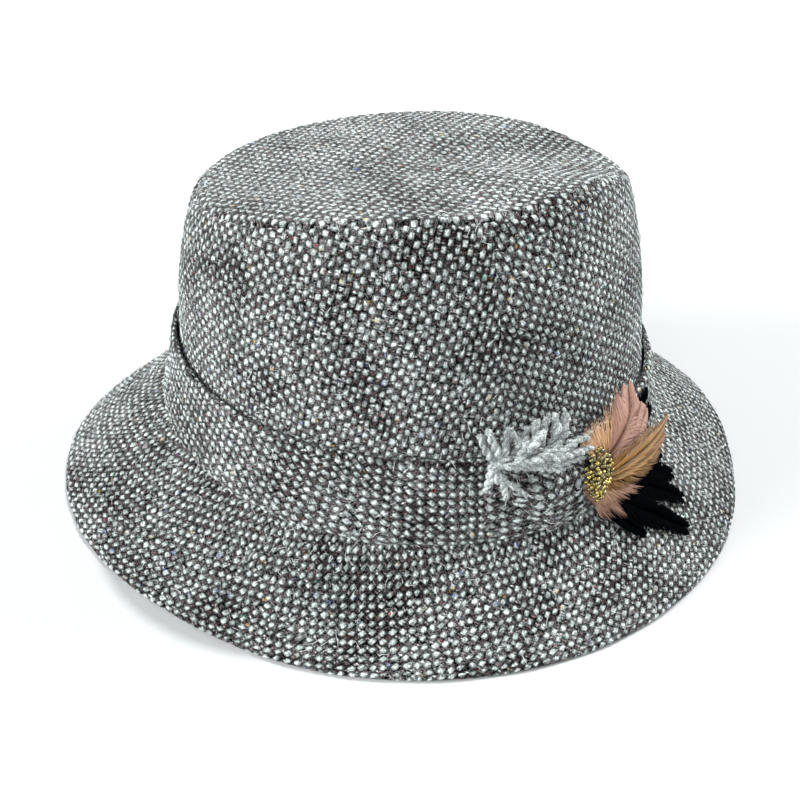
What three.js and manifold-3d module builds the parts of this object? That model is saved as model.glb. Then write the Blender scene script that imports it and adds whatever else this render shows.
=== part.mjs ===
// A tweed Irish walking hat with a feather trim, in millimetres, +Z up.
// The origin is the middle of the brim's rim, on the surface that the hat rests on.
// The front is -Y and the wearer's left, where the feathers are, is +X.
import * as THREE from 'three';
import { mergeVertices } from 'three/addons/utils/BufferGeometryUtils.js';
import Module from 'manifold-3d';

const wasm = await Module();
wasm.setup();

// Cloth, and the clearance that sewn pieces keep to each other.
const CLOTH = 1.8;
const BRIM_THICKNESS = 2.6;
const BAND_THICKNESS = 2.0;
const GAP = 0.3;

// The crown's axis lies a little behind the middle of the brim.
const CROWN_CENTRE_Y = 1.25;

// The band is an oval that narrows upwards; these are its outside sizes.
const FOOT = { halfWidth: 90.2, halfLength: 102.5, height: 25.6, frontDrop: 1.6 };
const BAND_TOP = { halfWidth: 83.8, halfLength: 97.8, height: 54.2, frontDrop: 1.0 };

// The brim slopes down to a rim with a flat underside that rests on the floor.
const BRIM_ARCH = 0.7;
const RIM = { topHeight: 2.3, middleHeight: 1.1, rounding: 0.7, flatWidth: 2.2 };

// The side wall swells a little below the seam at its top, and the top panel is domed.
const WALL_SWELL = 2.6;
const TIP_DOME = 2.0;

// The hat's form every 30 degrees, from the front round by the wearer's left:
// how far the brim reaches, and where the seam of the top panel runs, from the crown's axis.
const SECTIONS = [
  { angle: 0, brimReach: 134.0, seamReach: 76.5, seamHeight: 122.5 },
  { angle: 30, brimReach: 129.5, seamReach: 75.5, seamHeight: 123.0 },
  { angle: 60, brimReach: 124.5, seamReach: 75.0, seamHeight: 113.5 },
  { angle: 90, brimReach: 129.0, seamReach: 74.0, seamHeight: 109.5 },
  { angle: 120, brimReach: 130.5, seamReach: 77.0, seamHeight: 109.0 },
  { angle: 150, brimReach: 131.5, seamReach: 81.0, seamHeight: 107.5 },
  { angle: 180, brimReach: 131.5, seamReach: 82.5, seamHeight: 105.5 },
  { angle: 210, brimReach: 131.0, seamReach: 79.5, seamHeight: 105.0 },
  { angle: 240, brimReach: 130.5, seamReach: 75.0, seamHeight: 105.5 },
  { angle: 270, brimReach: 129.0, seamReach: 73.0, seamHeight: 109.5 },
  { angle: 300, brimReach: 127.5, seamReach: 73.0, seamHeight: 115.5 },
  { angle: 330, brimReach: 133.0, seamReach: 74.5, seamHeight: 122.0 },
];

const SEGMENTS = 64;

// The trim is placed by three numbers: the angle round the crown in degrees, the climb, which is
// 0 at the brim's edge, 1 at the band's foot, 2 at its top and 3 at the seam, and the lift in mm.
const PINCH = { angle: -7.8, climb: 1.98 };
const BEADS = { angle: 11.8, climb: 1.61, halfWidth: 5.2, halfHeight: 8.8, count: 34, radius: 0.95 };

// A closed curve through the rows of a column, at any angle.
function section(column, degrees) {
  const count = SECTIONS.length;
  const step = 360 / count;
  const position = THREE.MathUtils.euclideanModulo(degrees, 360) / step;
  const row = Math.floor(position);
  const t = position - row;
  const [a, b, c, d] = [-1, 0, 1, 2].map((k) => SECTIONS[(row + k + count) % count][column]);
  return b + 0.5 * t * (c - a + t * (2 * a - 5 * b + 4 * c - d + t * (3 * (b - c) + d - a)));
}

function ovalRadius(oval, degrees) {
  const angle = THREE.MathUtils.degToRad(degrees);
  return 1 / Math.hypot(Math.sin(angle) / oval.halfWidth, Math.cos(angle) / oval.halfLength);
}

function ovalHeight(oval, degrees) {
  return oval.height - oval.frontDrop * Math.cos(THREE.MathUtils.degToRad(degrees));
}

// A place in one section is a radius from the crown's axis and a height.
function place(radius, height) {
  return new THREE.Vector2(radius, height);
}

function inSpace(degrees, spot) {
  const angle = THREE.MathUtils.degToRad(degrees);
  return new THREE.Vector3(spot.x * Math.sin(angle), CROWN_CENTRE_Y - spot.x * Math.cos(angle), spot.y);
}

function footAt(degrees) {
  return place(ovalRadius(FOOT, degrees), ovalHeight(FOOT, degrees));
}

function bandTopAt(degrees) {
  return place(ovalRadius(BAND_TOP, degrees), ovalHeight(BAND_TOP, degrees));
}

function seamAt(degrees) {
  return place(section('seamReach', degrees), section('seamHeight', degrees));
}

function rimTopAt(degrees) {
  return place(section('brimReach', degrees) - RIM.rounding, RIM.topHeight);
}

// The brim's upper face: t is 0 at the band's foot and 1 at the rim, and below 0 under the band.
function brimTopAt(degrees, t) {
  const spot = footAt(degrees).lerp(rimTopAt(degrees), t);
  spot.y += BRIM_ARCH * 4 * t * (1 - t);
  return spot;
}

// The side wall's outside: level is 0 at the band's foot, 1 at its top and 2 at the seam.
function wallAt(degrees, level) {
  const inset = BAND_THICKNESS + GAP;
  const foot = footAt(degrees);
  const top = bandTopAt(degrees);
  foot.x -= inset;
  top.x -= inset;
  if (level < 1) {
    return foot.lerp(top, level);
  }
  const rise = level - 1;
  const spot = top.lerp(seamAt(degrees), rise);
  spot.x += WALL_SWELL * Math.sin(Math.PI * rise ** 1.3);
  return spot;
}

// A point over the hat's outside, by angle, climb and lift.
function onHat(degrees, climb, lift) {
  const levels = [rimTopAt(degrees), footAt(degrees), bandTopAt(degrees), seamAt(degrees)];
  const level = Math.min(Math.floor(climb), levels.length - 2);
  const spot = levels[level].clone().lerp(levels[level + 1], climb - level);
  const brimNormal = 58;
  const wallNormal = 11;
  const blend = THREE.MathUtils.smoothstep(climb, 0.6, 1.4);
  const normal = THREE.MathUtils.degToRad(THREE.MathUtils.lerp(brimNormal, wallNormal, blend));
  spot.x += lift * Math.cos(normal);
  spot.y += lift * Math.sin(normal);
  return inSpace(degrees, spot);
}

// A closed body from points and quads, turned so that its faces point out.
function geometryOf(points, quads) {
  const index = quads.flatMap(([a, b, c, d]) => [a, b, c, a, c, d]);
  let volume = 0;
  for (let i = 0; i < index.length; i += 3) {
    const [a, b, c] = [points[index[i]], points[index[i + 1]], points[index[i + 2]]];
    volume += a.dot(b.clone().cross(c));
  }
  if (volume < 0) {
    index.reverse();
  }
  const geometry = new THREE.BufferGeometry().setFromPoints(points);
  geometry.setIndex(index);
  return geometry;
}

// Rows of points, each a closed loop, joined to their neighbours. A ring joins its last row to
// its first, and any other body closes its two end rows with strips from side to side.
function loft(rows, isRing) {
  const perRow = rows[0].length;
  const quads = [];
  const steps = isRing ? rows.length : rows.length - 1;
  for (let row = 0; row < steps; row += 1) {
    const here = row * perRow;
    const next = ((row + 1) % rows.length) * perRow;
    for (let i = 0; i < perRow; i += 1) {
      const j = (i + 1) % perRow;
      quads.push([here + i, here + j, next + j, next + i]);
    }
  }
  if (!isRing) {
    const last = (rows.length - 1) * perRow;
    for (let i = 0; i < perRow / 2 - 1; i += 1) {
      const strip = [i, i + 1, perRow - 2 - i, perRow - 1 - i];
      quads.push(strip.map((corner) => last + corner), [...strip].reverse());
    }
  }
  return geometryOf(rows.flat(), quads);
}

// A ring round the crown from the loop that its section makes at each angle.
function ring(loopAt) {
  const rows = [];
  for (let i = 0; i < SEGMENTS; i += 1) {
    const degrees = (i * 360) / SEGMENTS;
    rows.push(loopAt(degrees).map((spot) => inSpace(degrees, spot)));
  }
  return loft(rows, true);
}

function evenly(count, value) {
  return Array.from({ length: count }, (_, i) => value(i / (count - 1)));
}

// Several bodies fused into one.
function fuse(geometries) {
  const solids = geometries.map((geometry) => {
    const merged = mergeVertices(geometry.deleteAttribute('normal').deleteAttribute('uv'));
    const vertProperties = new Float32Array(merged.attributes.position.array);
    const triVerts = new Uint32Array(merged.index.array);
    return new wasm.Manifold(new wasm.Mesh({ numProp: 3, vertProperties, triVerts }));
  });
  const mesh = solids.reduce((whole, solid) => whole.add(solid)).getMesh();
  const geometry = new THREE.BufferGeometry();
  geometry.setAttribute('position', new THREE.BufferAttribute(mesh.vertProperties, 3));
  geometry.setIndex(new THREE.BufferAttribute(mesh.triVerts, 1));
  return geometry;
}

// One blunt strand of yarn over the hat's outside, from root to tip.
function strand(root, tip, width) {
  const stations = 5;
  const sides = 6;
  return loft(evenly(stations, (t) => {
    const [angle, climb, lift] = root.map((start, k) => THREE.MathUtils.lerp(start, tip[k], t));
    const middle = onHat(angle, climb, lift);
    const out = onHat(angle, climb, lift + 1).sub(middle).normalize();
    const along = onHat(tip[0], tip[1], lift).sub(onHat(root[0], root[1], lift)).normalize();
    const across = new THREE.Vector3().crossVectors(out, along).normalize();
    const radius = (width / 2) * (1 - 0.4 * t ** 4);
    return evenly(sides + 1, (turn) => {
      const around = turn * 2 * Math.PI;
      return middle.clone()
        .addScaledVector(across, radius * Math.cos(around))
        .addScaledVector(out, radius * Math.sin(around));
    }).slice(0, sides);
  }), false);
}

// A feather's vane: spokes from the quill's root out to each tip, joined into one thin fan,
// with a notch cut back between each pair of tips. The two ends of the root keep it from a point.
function vane({ rootEnds, tips, notch, thickness }) {
  const stations = 5;
  const rim = tips.flatMap((tip, i) => {
    if (i === 0) {
      return [{ spot: tip, reach: 1 }];
    }
    const between = tip.map((value, k) => (value + tips[i - 1][k]) / 2);
    return [{ spot: between, reach: 1 - notch }, { spot: tip, reach: 1 }];
  });
  const spokes = rim.map(({ spot, reach }, i) => {
    const [start, end] = rootEnds;
    const share = i / (rim.length - 1);
    const root = start.map((value, k) => THREE.MathUtils.lerp(value, end[k], share));
    const pointAt = (t, side) => {
      const [angle, climb, lift] = root.map((value, k) => THREE.MathUtils.lerp(value, spot[k], t * reach));
      return onHat(angle, climb, lift + (side * thickness * (1 - 0.5 * t)) / 2);
    };
    return [...evenly(stations, (t) => pointAt(t, 1)), ...evenly(stations, (t) => pointAt(1 - t, -1))];
  });
  return loft(spokes, false);
}

// The side wall stands on the brim and ends in a slanting face under the seam.
function crownSide() {
  const joint = 0.25;
  const outsideLevels = [0.09, 0.5, 1, 1.15, 1.35, 1.55, 1.72, 1.88, 2];
  const insideLevels = [1.97, 1.82, 1.62, 1.4, 1.2, 1, 0.14];
  return ring((degrees) => {
    const outside = outsideLevels.map((level) => wallAt(degrees, level));
    outside.at(-1).y -= joint;
    const inside = insideLevels.map((level) => wallAt(degrees, level));
    inside.forEach((spot) => { spot.x -= CLOTH; });
    return [...outside, ...inside];
  });
}

// The top panel: an oval sheet of even thickness whose edge meets the side wall at the seam.
function crownTip() {
  const joint = 0.25;
  const seamHeights = SECTIONS.map((row) => row.seamHeight);
  const middleHeight = seamHeights.reduce((sum, height) => sum + height) / seamHeights.length;
  const ringAt = (share, edgeInset, drop) => evenly(SEGMENTS + 1, (turn) => {
    const degrees = turn * 360;
    const seam = seamAt(degrees);
    const rise = THREE.MathUtils.lerp(middleHeight, seam.y, share ** 1.2);
    const dome = TIP_DOME * (1 - share ** 2);
    return inSpace(degrees, place(share * (seam.x - edgeInset), rise + dome - drop));
  }).slice(0, SEGMENTS);
  const shares = [0.15, 0.4, 0.65, 0.85, 1];
  const upper = shares.map((share) => ringAt(share, joint, -joint));
  const lower = [...shares].reverse().map((share) => ringAt(share, CLOTH + joint, CLOTH - joint));
  return loft([...upper, ...lower], false);
}

// The brim: inside edge under the side wall, two slopes and the rim.
function brim() {
  const insideEdge = -0.1;
  const underRim = 0.86;
  const uprightThickness = BRIM_THICKNESS * 1.2;
  return ring((degrees) => {
    const upper = evenly(6, (t) => brimTopAt(degrees, THREE.MathUtils.lerp(insideEdge, 1, t)));
    const reach = section('brimReach', degrees);
    const rim = [
      place(reach, RIM.middleHeight),
      place(reach - RIM.rounding, 0),
      place(reach - RIM.rounding - RIM.flatWidth, 0),
    ];
    const under = evenly(5, (t) => {
      const spot = brimTopAt(degrees, THREE.MathUtils.lerp(underRim, insideEdge, t));
      spot.y -= uprightThickness;
      return spot;
    });
    return [...upper, ...rim, ...under];
  });
}

// The band stands on the brim and leans against the side wall.
function hatBand() {
  const rounding = 0.5;
  const fullness = 0.2;
  const seat = GAP + 0.2;
  return ring((degrees) => {
    const foot = footAt(degrees);
    const top = bandTopAt(degrees);
    foot.y += seat;
    const outside = evenly(4, (t) => foot.clone().lerp(top, t));
    outside[0].x -= rounding;
    outside[3].x -= rounding;
    outside[1].x += fullness;
    outside[2].x += fullness;
    const inside = [top.clone(), foot.clone()];
    inside.forEach((spot) => { spot.x -= BAND_THICKNESS; });
    inside[1].y += BAND_THICKNESS * 0.7;
    return [...outside, ...inside];
  });
}

// The band's end: narrow at the pinch, opening to a soft round end beside the beads.
function bandFold() {
  const start = -6.0;
  const end = 10.8;
  const bulge = 3.0;
  const thinnest = 0.6;
  const stations = 9;
  const across = 6;
  return loft(evenly(stations, (t) => {
    const degrees = THREE.MathUtils.lerp(start, end, t);
    const upper = THREE.MathUtils.lerp(1.9, 1.66, Math.sqrt(t));
    const lower = THREE.MathUtils.lerp(1.82, 1.07, Math.min(1, t * 1.8) ** 0.8);
    const puff = (0.25 + 0.75 * THREE.MathUtils.smoothstep(t, 0, 0.5)) * (1 - 0.15 * t);
    const climbAt = (s) => THREE.MathUtils.lerp(lower, upper, s);
    const outside = evenly(across, (s) => {
      const lift = GAP + thinnest + bulge * puff * Math.sin(Math.PI * s) ** 0.7;
      return onHat(degrees, climbAt(s), lift);
    });
    const inside = evenly(across, (s) => onHat(degrees, climbAt(1 - s), 2 * GAP));
    return [...outside, ...inside];
  }), false);
}

// Frayed ends of the band's yarn, fused at the pinch: root, tip and width of each strand.
function yarnFringe() {
  const knot = [PINCH.angle, PINCH.climb, 2.4];
  const over = [-5.5, 1.97, 4.6];
  const strands = [
    [knot, [-8.4, 2.15, 3.2], 2.4],
    [knot, [-5.5, 2.16, 3.4], 2.4],
    [knot, [-1.7, 2.16, 3.6], 2.6],
    [knot, [2.3, 2.16, 3.8], 2.6],
    [knot, [6.5, 2.15, 4.0], 2.4],
    [[PINCH.angle, PINCH.climb, 2.8], over, 2.2],
    [over, [8.6, 2.04, 5.7], 2.0],
    [over, [10.4, 1.96, 5.7], 2.0],
    [over, [7.6, 1.81, 5.7], 2.0],
    [over, [4.0, 1.85, 5.2], 1.8],
    [knot, [-8.6, 1.67, 2.2], 2.4],
    [knot, [-4.6, 1.6, 4.2], 2.0],
    [knot, [-2.6, 1.56, 4.8], 2.0],
  ];
  return fuse(strands.map((row) => strand(...row)));
}

// The tips of each feather are listed clockwise as the trim is seen.
function blackFeathers() {
  return vane({
    rootEnds: [[13.4, 1.62, 1.7], [13.4, 1.42, 1.7]],
    tips: [
      [36.2, 1.92, 1.7],
      [37.8, 1.6, 1.7],
      [39.5, 1.25, 2.0],
      [42.0, 0.86, 2.2],
      [36.2, 0.61, 2.2],
      [34.2, 0.45, 2.2],
      [30.0, 0.29, 2.2],
      [25.8, 0.44, 2.2],
      [20.2, 0.59, 2.2],
    ],
    notch: 0.14,
    thickness: 1.3,
  });
}

function roseFeather() {
  return vane({
    rootEnds: [[13.2, 1.74, 3.7], [15.0, 1.6, 3.7]],
    tips: [
      [10.8, 2.03, 3.7],
      [13.0, 2.08, 3.7],
      [16.0, 2.12, 3.7],
      [19.8, 2.18, 3.7],
      [23.8, 2.19, 3.7],
      [27.0, 2.1, 3.7],
      [30.0, 2.02, 3.7],
      [32.4, 1.88, 3.7],
      [34.0, 1.66, 3.7],
    ],
    notch: 0.05,
    thickness: 1.3,
  });
}

function goldFeather() {
  return vane({
    rootEnds: [[13.4, 1.58, 6.0], [13.4, 1.42, 6.0]],
    tips: [
      [25.0, 1.64, 6.0],
      [32.0, 1.64, 6.0],
      [41.0, 1.42, 6.0],
      [37.2, 1.09, 6.0],
      [33.0, 1.02, 6.0],
      [26.8, 1.06, 6.0],
      [21.0, 1.14, 6.0],
    ],
    notch: 0.08,
    thickness: 1.3,
  });
}

function featherTuft() {
  return vane({
    rootEnds: [[12.4, 1.44, 5.0], [14.4, 1.4, 4.4]],
    tips: [
      [9.8, 1.46, 5.2],
      [11.2, 1.26, 5.2],
      [12.6, 1.08, 5.1],
      [14.0, 0.96, 5.0],
      [17.8, 0.86, 4.9],
      [21.8, 0.97, 4.6],
      [26.0, 0.94, 4.5],
      [23.0, 1.16, 4.4],
    ],
    notch: 0.2,
    thickness: 1.2,
  });
}

// Small round beads in a spiral over a low pad, fused into one body. At the beads, a degree is
// about 1.7 mm round the band and a whole climb is the height of the band's face.
function beadCluster() {
  const padLift = 7.1;
  const padThickness = 1.3;
  const degreesPerMm = 1 / 1.72;
  const climbPerMm = 1 / 28.6;
  const goldenAngle = Math.PI * (3 - Math.sqrt(5));
  const spotAt = (right, up, lift) => {
    const angle = BEADS.angle + right * degreesPerMm;
    return onHat(angle, BEADS.climb + up * climbPerMm, lift);
  };
  const padRow = (share, lift) => evenly(17, (turn) => {
    const around = turn * 2 * Math.PI;
    const right = share * BEADS.halfWidth * Math.cos(around);
    return spotAt(right, share * BEADS.halfHeight * Math.sin(around), lift);
  }).slice(0, 16);
  const pad = loft([
    padRow(0.45, padLift + padThickness * 1.4),
    padRow(0.8, padLift + padThickness),
    padRow(1, padLift + padThickness / 2),
    padRow(0.9, padLift),
  ], false);
  const beads = evenly(BEADS.count, (t) => {
    const share = Math.sqrt(t * 0.98 + 0.01);
    const around = t * (BEADS.count - 1) * goldenAngle;
    const right = share * BEADS.halfWidth * Math.cos(around);
    const up = share * BEADS.halfHeight * Math.sin(around);
    const lift = padLift + padThickness * (1.5 - 0.6 * share ** 2);
    const bead = new THREE.SphereGeometry(BEADS.radius, 10, 5);
    bead.translate(...spotAt(right, up, lift).toArray());
    return bead;
  });
  return fuse([pad, ...beads]);
}

const TWEED = { color: 0x6f7070, roughness: 0.95, metalness: 0 };

const PIECES = [
  { name: 'crown_tip', shape: crownTip, look: TWEED },
  { name: 'crown_side', shape: crownSide, look: TWEED },
  { name: 'brim', shape: brim, look: TWEED },
  { name: 'hat_band', shape: hatBand, look: TWEED },
  { name: 'band_fold', shape: bandFold, look: TWEED },
  { name: 'yarn_fringe', shape: yarnFringe, look: { color: 0xb9c4c2, roughness: 0.95, metalness: 0 } },
  { name: 'black_feathers', shape: blackFeathers, look: { color: 0x0a0c10, roughness: 0.6, metalness: 0 } },
  { name: 'rose_feather', shape: roseFeather, look: { color: 0xb08a7c, roughness: 0.7, metalness: 0 } },
  { name: 'gold_feather', shape: goldFeather, look: { color: 0xb8892f, roughness: 0.6, metalness: 0 } },
  { name: 'feather_tuft', shape: featherTuft, look: { color: 0xa8826f, roughness: 0.8, metalness: 0 } },
  { name: 'bead_cluster', shape: beadCluster, look: { color: 0x8a7a1e, roughness: 0.3, metalness: 0.4 } },
];

const group = new THREE.Group();
for (const { name, shape, look } of PIECES) {
  const piece = new THREE.Mesh(shape(), new THREE.MeshStandardMaterial(look));
  piece.name = name;
  group.add(piece);
}

export default group;
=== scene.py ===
# A tweed Irish walking hat with a feather trim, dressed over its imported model.
# Lengths are worked out in millimetres and put into the meshes in metres. The front is -Y, and
# the wearer's left, where the feathers are, is +X.
import math

import bpy
import numpy as np
from mathutils import Matrix, Vector


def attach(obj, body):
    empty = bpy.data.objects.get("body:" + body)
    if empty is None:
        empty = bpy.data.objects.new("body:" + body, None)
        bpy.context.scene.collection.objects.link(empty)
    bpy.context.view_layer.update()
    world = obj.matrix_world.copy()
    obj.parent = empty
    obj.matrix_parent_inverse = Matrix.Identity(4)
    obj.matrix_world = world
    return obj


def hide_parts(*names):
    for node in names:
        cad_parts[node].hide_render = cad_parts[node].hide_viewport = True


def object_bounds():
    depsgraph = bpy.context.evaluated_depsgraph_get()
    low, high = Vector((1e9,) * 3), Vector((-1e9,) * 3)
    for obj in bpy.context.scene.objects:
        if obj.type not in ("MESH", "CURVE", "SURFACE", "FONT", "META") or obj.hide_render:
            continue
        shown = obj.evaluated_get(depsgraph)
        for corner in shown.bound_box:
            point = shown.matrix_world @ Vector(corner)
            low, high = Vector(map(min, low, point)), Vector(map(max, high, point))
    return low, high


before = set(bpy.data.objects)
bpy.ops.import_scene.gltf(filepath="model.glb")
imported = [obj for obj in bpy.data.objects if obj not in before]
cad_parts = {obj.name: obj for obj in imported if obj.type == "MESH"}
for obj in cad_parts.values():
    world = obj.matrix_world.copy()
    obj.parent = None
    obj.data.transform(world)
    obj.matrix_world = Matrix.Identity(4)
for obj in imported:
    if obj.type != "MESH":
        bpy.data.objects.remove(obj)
cad_box = [list(corner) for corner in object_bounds()]

# Camera
# It looks down at the hat from the front, a little from the wearer's right, and is turned a
# touch on its own axis.
camera_place = Vector((-0.1551, -0.3760, 0.2581))
camera_aim = Vector((-0.0015, 0.0040, 0.0181))
camera_roll = math.radians(0.5)
camera_data = bpy.data.cameras.new("camera")
camera_data.lens = 55.39
camera_data.sensor_width = 36
camera = bpy.data.objects.new("camera", camera_data)
bpy.context.scene.collection.objects.link(camera)
forward = (camera_aim - camera_place).normalized()
level = forward.cross(Vector((0, 0, 1))).normalized()
rightward = level * math.cos(camera_roll) - level.cross(forward) * math.sin(camera_roll)
camera.matrix_world = Matrix((rightward, rightward.cross(forward), -forward)).transposed().to_4x4()
camera.location = camera_place
bpy.context.scene.camera = camera

# Brim
# Two layers of tweed cut on the bias, quilted together and sewn to the foot of the crown. It
# slopes down to a turned edge, and the hat rests on that edge.
MM = 0.001
BRIM_THICKNESS = 2.6
BRIM_ARCH = 0.7
RIM_TOP = 2.3
RIM_ROUNDING = 0.7
RIM_FLAT = 2.2
CROWN_CENTRE_Y = 1.25
FOOT = {"half_width": 90.2, "half_length": 102.5, "height": 25.6, "front_drop": 1.6}
TABLE_STEP = 30
# The hat's form every 30 degrees, from the front round by the wearer's left.
BRIM_REACH = [134.0, 129.5, 124.5, 129.0, 130.5, 131.5, 131.0, 127.8, 131.0, 129.0, 127.5, 133.0]

random = np.random.default_rng(1284)


def through(values, degrees):
    """A closed Catmull-Rom curve through values that stand every 30 degrees."""
    values = np.array(values)
    position = (np.asarray(degrees, float) % 360) / TABLE_STEP
    row = np.floor(position).astype(int)
    t = position - row
    a, b, c, d = (values[(row + k) % len(values)] for k in (-1, 0, 1, 2))
    return b + 0.5 * t * (c - a + t * (2 * a - 5 * b + 4 * c - d + t * (3 * (b - c) + d - a)))


def mix(a, b, t):
    """The straight line from a to b."""
    return a + (b - a) * t


def smooth(low, high, value):
    """0 below low, 1 above high, and an S-shaped rise between them."""
    t = np.clip((value - low) / (high - low), 0, 1)
    return t * t * (3 - 2 * t)


def oval(form, degrees):
    """Radius and height of an oval: one over the length of (sin/half width, cos/half length),
    and a height that drops a little towards the front."""
    angle = np.radians(degrees)
    radius = 1 / np.hypot(np.sin(angle) / form["half_width"], np.cos(angle) / form["half_length"])
    return radius, form["height"] - form["front_drop"] * np.cos(angle)


def in_space(degrees, radius, height):
    """Points from an angle round the crown's axis, a radius and a height."""
    angle = np.radians(degrees)
    x, y = radius * np.sin(angle), CROWN_CENTRE_Y - radius * np.cos(angle)
    return np.stack(np.broadcast_arrays(x, y, height), -1)


def brim_top(degrees, t):
    """The brim's upper face: a straight line from the foot to the rim, arched by 4t(1 - t)."""
    foot_radius, foot_height = oval(FOOT, degrees)
    radius = mix(foot_radius, through(BRIM_REACH, degrees) - RIM_ROUNDING, t)
    return radius, mix(foot_height, RIM_TOP, t) + BRIM_ARCH * 4 * t * (1 - t)


def unevenness(points, length, seed):
    """The give of soft cloth: sine waves in six random directions, added up and scaled to
    about -1 to 1, each with a wavelength near the given length."""
    draw = np.random.default_rng(seed)
    total = np.zeros(points.shape[:-1])
    for _ in range(6):
        direction = draw.normal(size=3)
        direction /= np.linalg.norm(direction)
        pace = 2 * np.pi / (length * draw.uniform(0.7, 1.5))
        total += np.sin(points @ direction * pace + draw.uniform(0, 2 * np.pi))
    return total / 3.5


def outward_from(points, ring_rows, ring_columns):
    """Unit normals of a grid of points: the cross product of the differences along its rows and
    its columns, turned so that together they enclose a positive volume."""
    def along(axis, is_ring):
        if is_ring:
            return np.roll(points, -1, axis) - np.roll(points, 1, axis)
        return np.gradient(points, axis=axis)
    normal = np.cross(along(1, ring_columns), along(0, ring_rows))
    if (normal * points).sum() < 0:
        normal = -normal
    return normal / np.maximum(np.linalg.norm(normal, axis=-1, keepdims=True), 1e-9)


WEAVE_REPEAT = 256
yarn_fullness = random.uniform(0.75, 1.25, (WEAVE_REPEAT, WEAVE_REPEAT))


def nubs(threads):
    """The relief of a plain weave: sin(pi p) sin(pi q) in thread counts, so that the pale yarn
    stands up in every second square, times a random fullness for each square."""
    p, q = threads[..., 0], threads[..., 1]
    square = np.floor(threads).astype(int) % WEAVE_REPEAT
    return np.sin(np.pi * p) * np.sin(np.pi * q) * yarn_fullness[square[..., 0], square[..., 1]]


def sheet_mesh(name, points, threads, ring_rows, ring_columns):
    """A mesh of quads from a grid of points in millimetres, with thread counts as its UV map.
    A ring's thread counts have one more row or column than its points, for the closing quads.
    A tube with open ends gets a flat cap on its first and last columns."""
    rows, columns = points.shape[:2]
    row, column = np.arange(rows - (not ring_rows)), np.arange(columns - (not ring_columns))
    r, c = np.meshgrid(row, column, indexing="ij")
    corners = [(r, c), (r, c + 1), (r + 1, c + 1), (r + 1, c)]
    quads = np.stack([(i % rows) * columns + j % columns for i, j in corners], -1).reshape(-1, 4)
    uv = np.stack([threads[i, j] for i, j in corners], -2).reshape(-1, 4, 2)
    a, b, d = (points.reshape(-1, 3)[quads[:, k]] for k in (0, 1, 3))
    if (np.cross(b - a, d - a) * a).sum() < 0:
        quads, uv = quads[:, ::-1], uv[:, ::-1]
    faces = quads.tolist()
    corner_uv = uv.reshape(-1, 2)
    if ring_rows and not ring_columns:
        for column in (0, columns - 1):
            loop = np.arange(rows) * columns + column
            before = points[:, 1 if column == 0 else columns - 2].mean(0)
            middle = points[:, column].mean(0)
            turn = np.cross(points[0, column] - middle, points[1, column] - middle)
            order = slice(None, None, 1 if turn @ (middle - before) > 0 else -1)
            faces.append(loop[order].tolist())
            corner_uv = np.concatenate([corner_uv, threads[:rows, column][order]])
    mesh = bpy.data.meshes.new(name)
    mesh.from_pydata((points.reshape(-1, 3) * MM).tolist(), [], faces)
    layer = mesh.uv_layers.new(name="threads")
    layer.data.foreach_set("uv", corner_uv.astype(np.float32).ravel())
    mesh.shade_smooth()
    piece = bpy.data.objects.new(name, mesh)
    bpy.context.scene.collection.objects.link(piece)
    return piece


def linear(code):
    """An sRGB hex colour as linear red, green, blue and alpha."""
    values = [int(code[k:k + 2], 16) / 255 for k in (1, 3, 5)]
    return [v / 12.92 if v <= 0.04045 else ((v + 0.055) / 1.055) ** 2.4 for v in values] + [1.0]


def add(material, kind, sockets, out=0, stops=None, **settings):
    """Adds a shader node, sets its properties, its colour stops and its sockets, each socket from
    a value or from another node's output, and returns one of its outputs. Sockets go by number
    where their names repeat: on a colour Mix 0 is the factor, and 6 and 7 are the colours."""
    tree = material.node_tree
    made = tree.nodes.new("ShaderNode" + kind)
    for key, value in settings.items():
        setattr(made, key, value)
    if stops:
        while len(made.color_ramp.elements) < len(stops):
            made.color_ramp.elements.new(0.5)
        for element, (position, code) in zip(made.color_ramp.elements, stops):
            element.position = position
            element.color = linear(code)
    for socket, value in sockets.items():
        if isinstance(value, bpy.types.NodeSocket):
            tree.links.new(value, made.inputs[socket])
        else:
            made.inputs[socket].default_value = value
    return made.outputs[out] if made.outputs else None


def blank_material(name):
    """A material with an empty node tree."""
    material = bpy.data.materials.new(name)
    material.use_nodes = True
    material.node_tree.nodes.clear()
    return material


# Woollen tweed in a plain weave, one pale and one dark yarn, both spun from dyed fleece. The
# pale yarn shows as oval nubs in every second square of the weave, the dark one between them.
# Wool has no gloss, and its fuzz catches the light at grazing angles. The pattern's unit is one
# thread, which the UV map counts, and the pieces set their threads 1.6 to 3 mm apart.
tweed = blank_material("woollen_tweed")
threads = add(tweed, "UVMap", {}, uv_map="threads")
drift = add(tweed, "TexNoise", {"Vector": threads, "Scale": 0.55, "Detail": 1.5}, "Color",
            noise_dimensions="2D")
drift = add(tweed, "VectorMath", {0: drift, 1: (0.5, 0.5, 0.5)}, operation="SUBTRACT")
threads = add(tweed, "VectorMath", {0: drift, 1: (0.45, 0.45, 0), 2: threads}, operation="MULTIPLY_ADD")
square = add(tweed, "VectorMath", {0: threads}, operation="FLOOR")
place = add(tweed, "VectorMath", {0: threads}, operation="FRACTION")
place = add(tweed, "VectorMath", {0: place, 1: (0.5, 0.5, 0)}, operation="SUBTRACT")
square_x, square_y = (add(tweed, "SeparateXYZ", {0: square}, axis) for axis in "XY")
x, y = (add(tweed, "SeparateXYZ", {0: place}, axis) for axis in "XY")
squares = add(tweed, "Math", {0: square_x, 1: square_y}, operation="ADD")
is_dark = add(tweed, "Math", {0: squares, 1: 2.0}, operation="FLOORED_MODULO")
is_pale = add(tweed, "Math", {0: 1.0, 1: is_dark}, operation="SUBTRACT")

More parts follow.
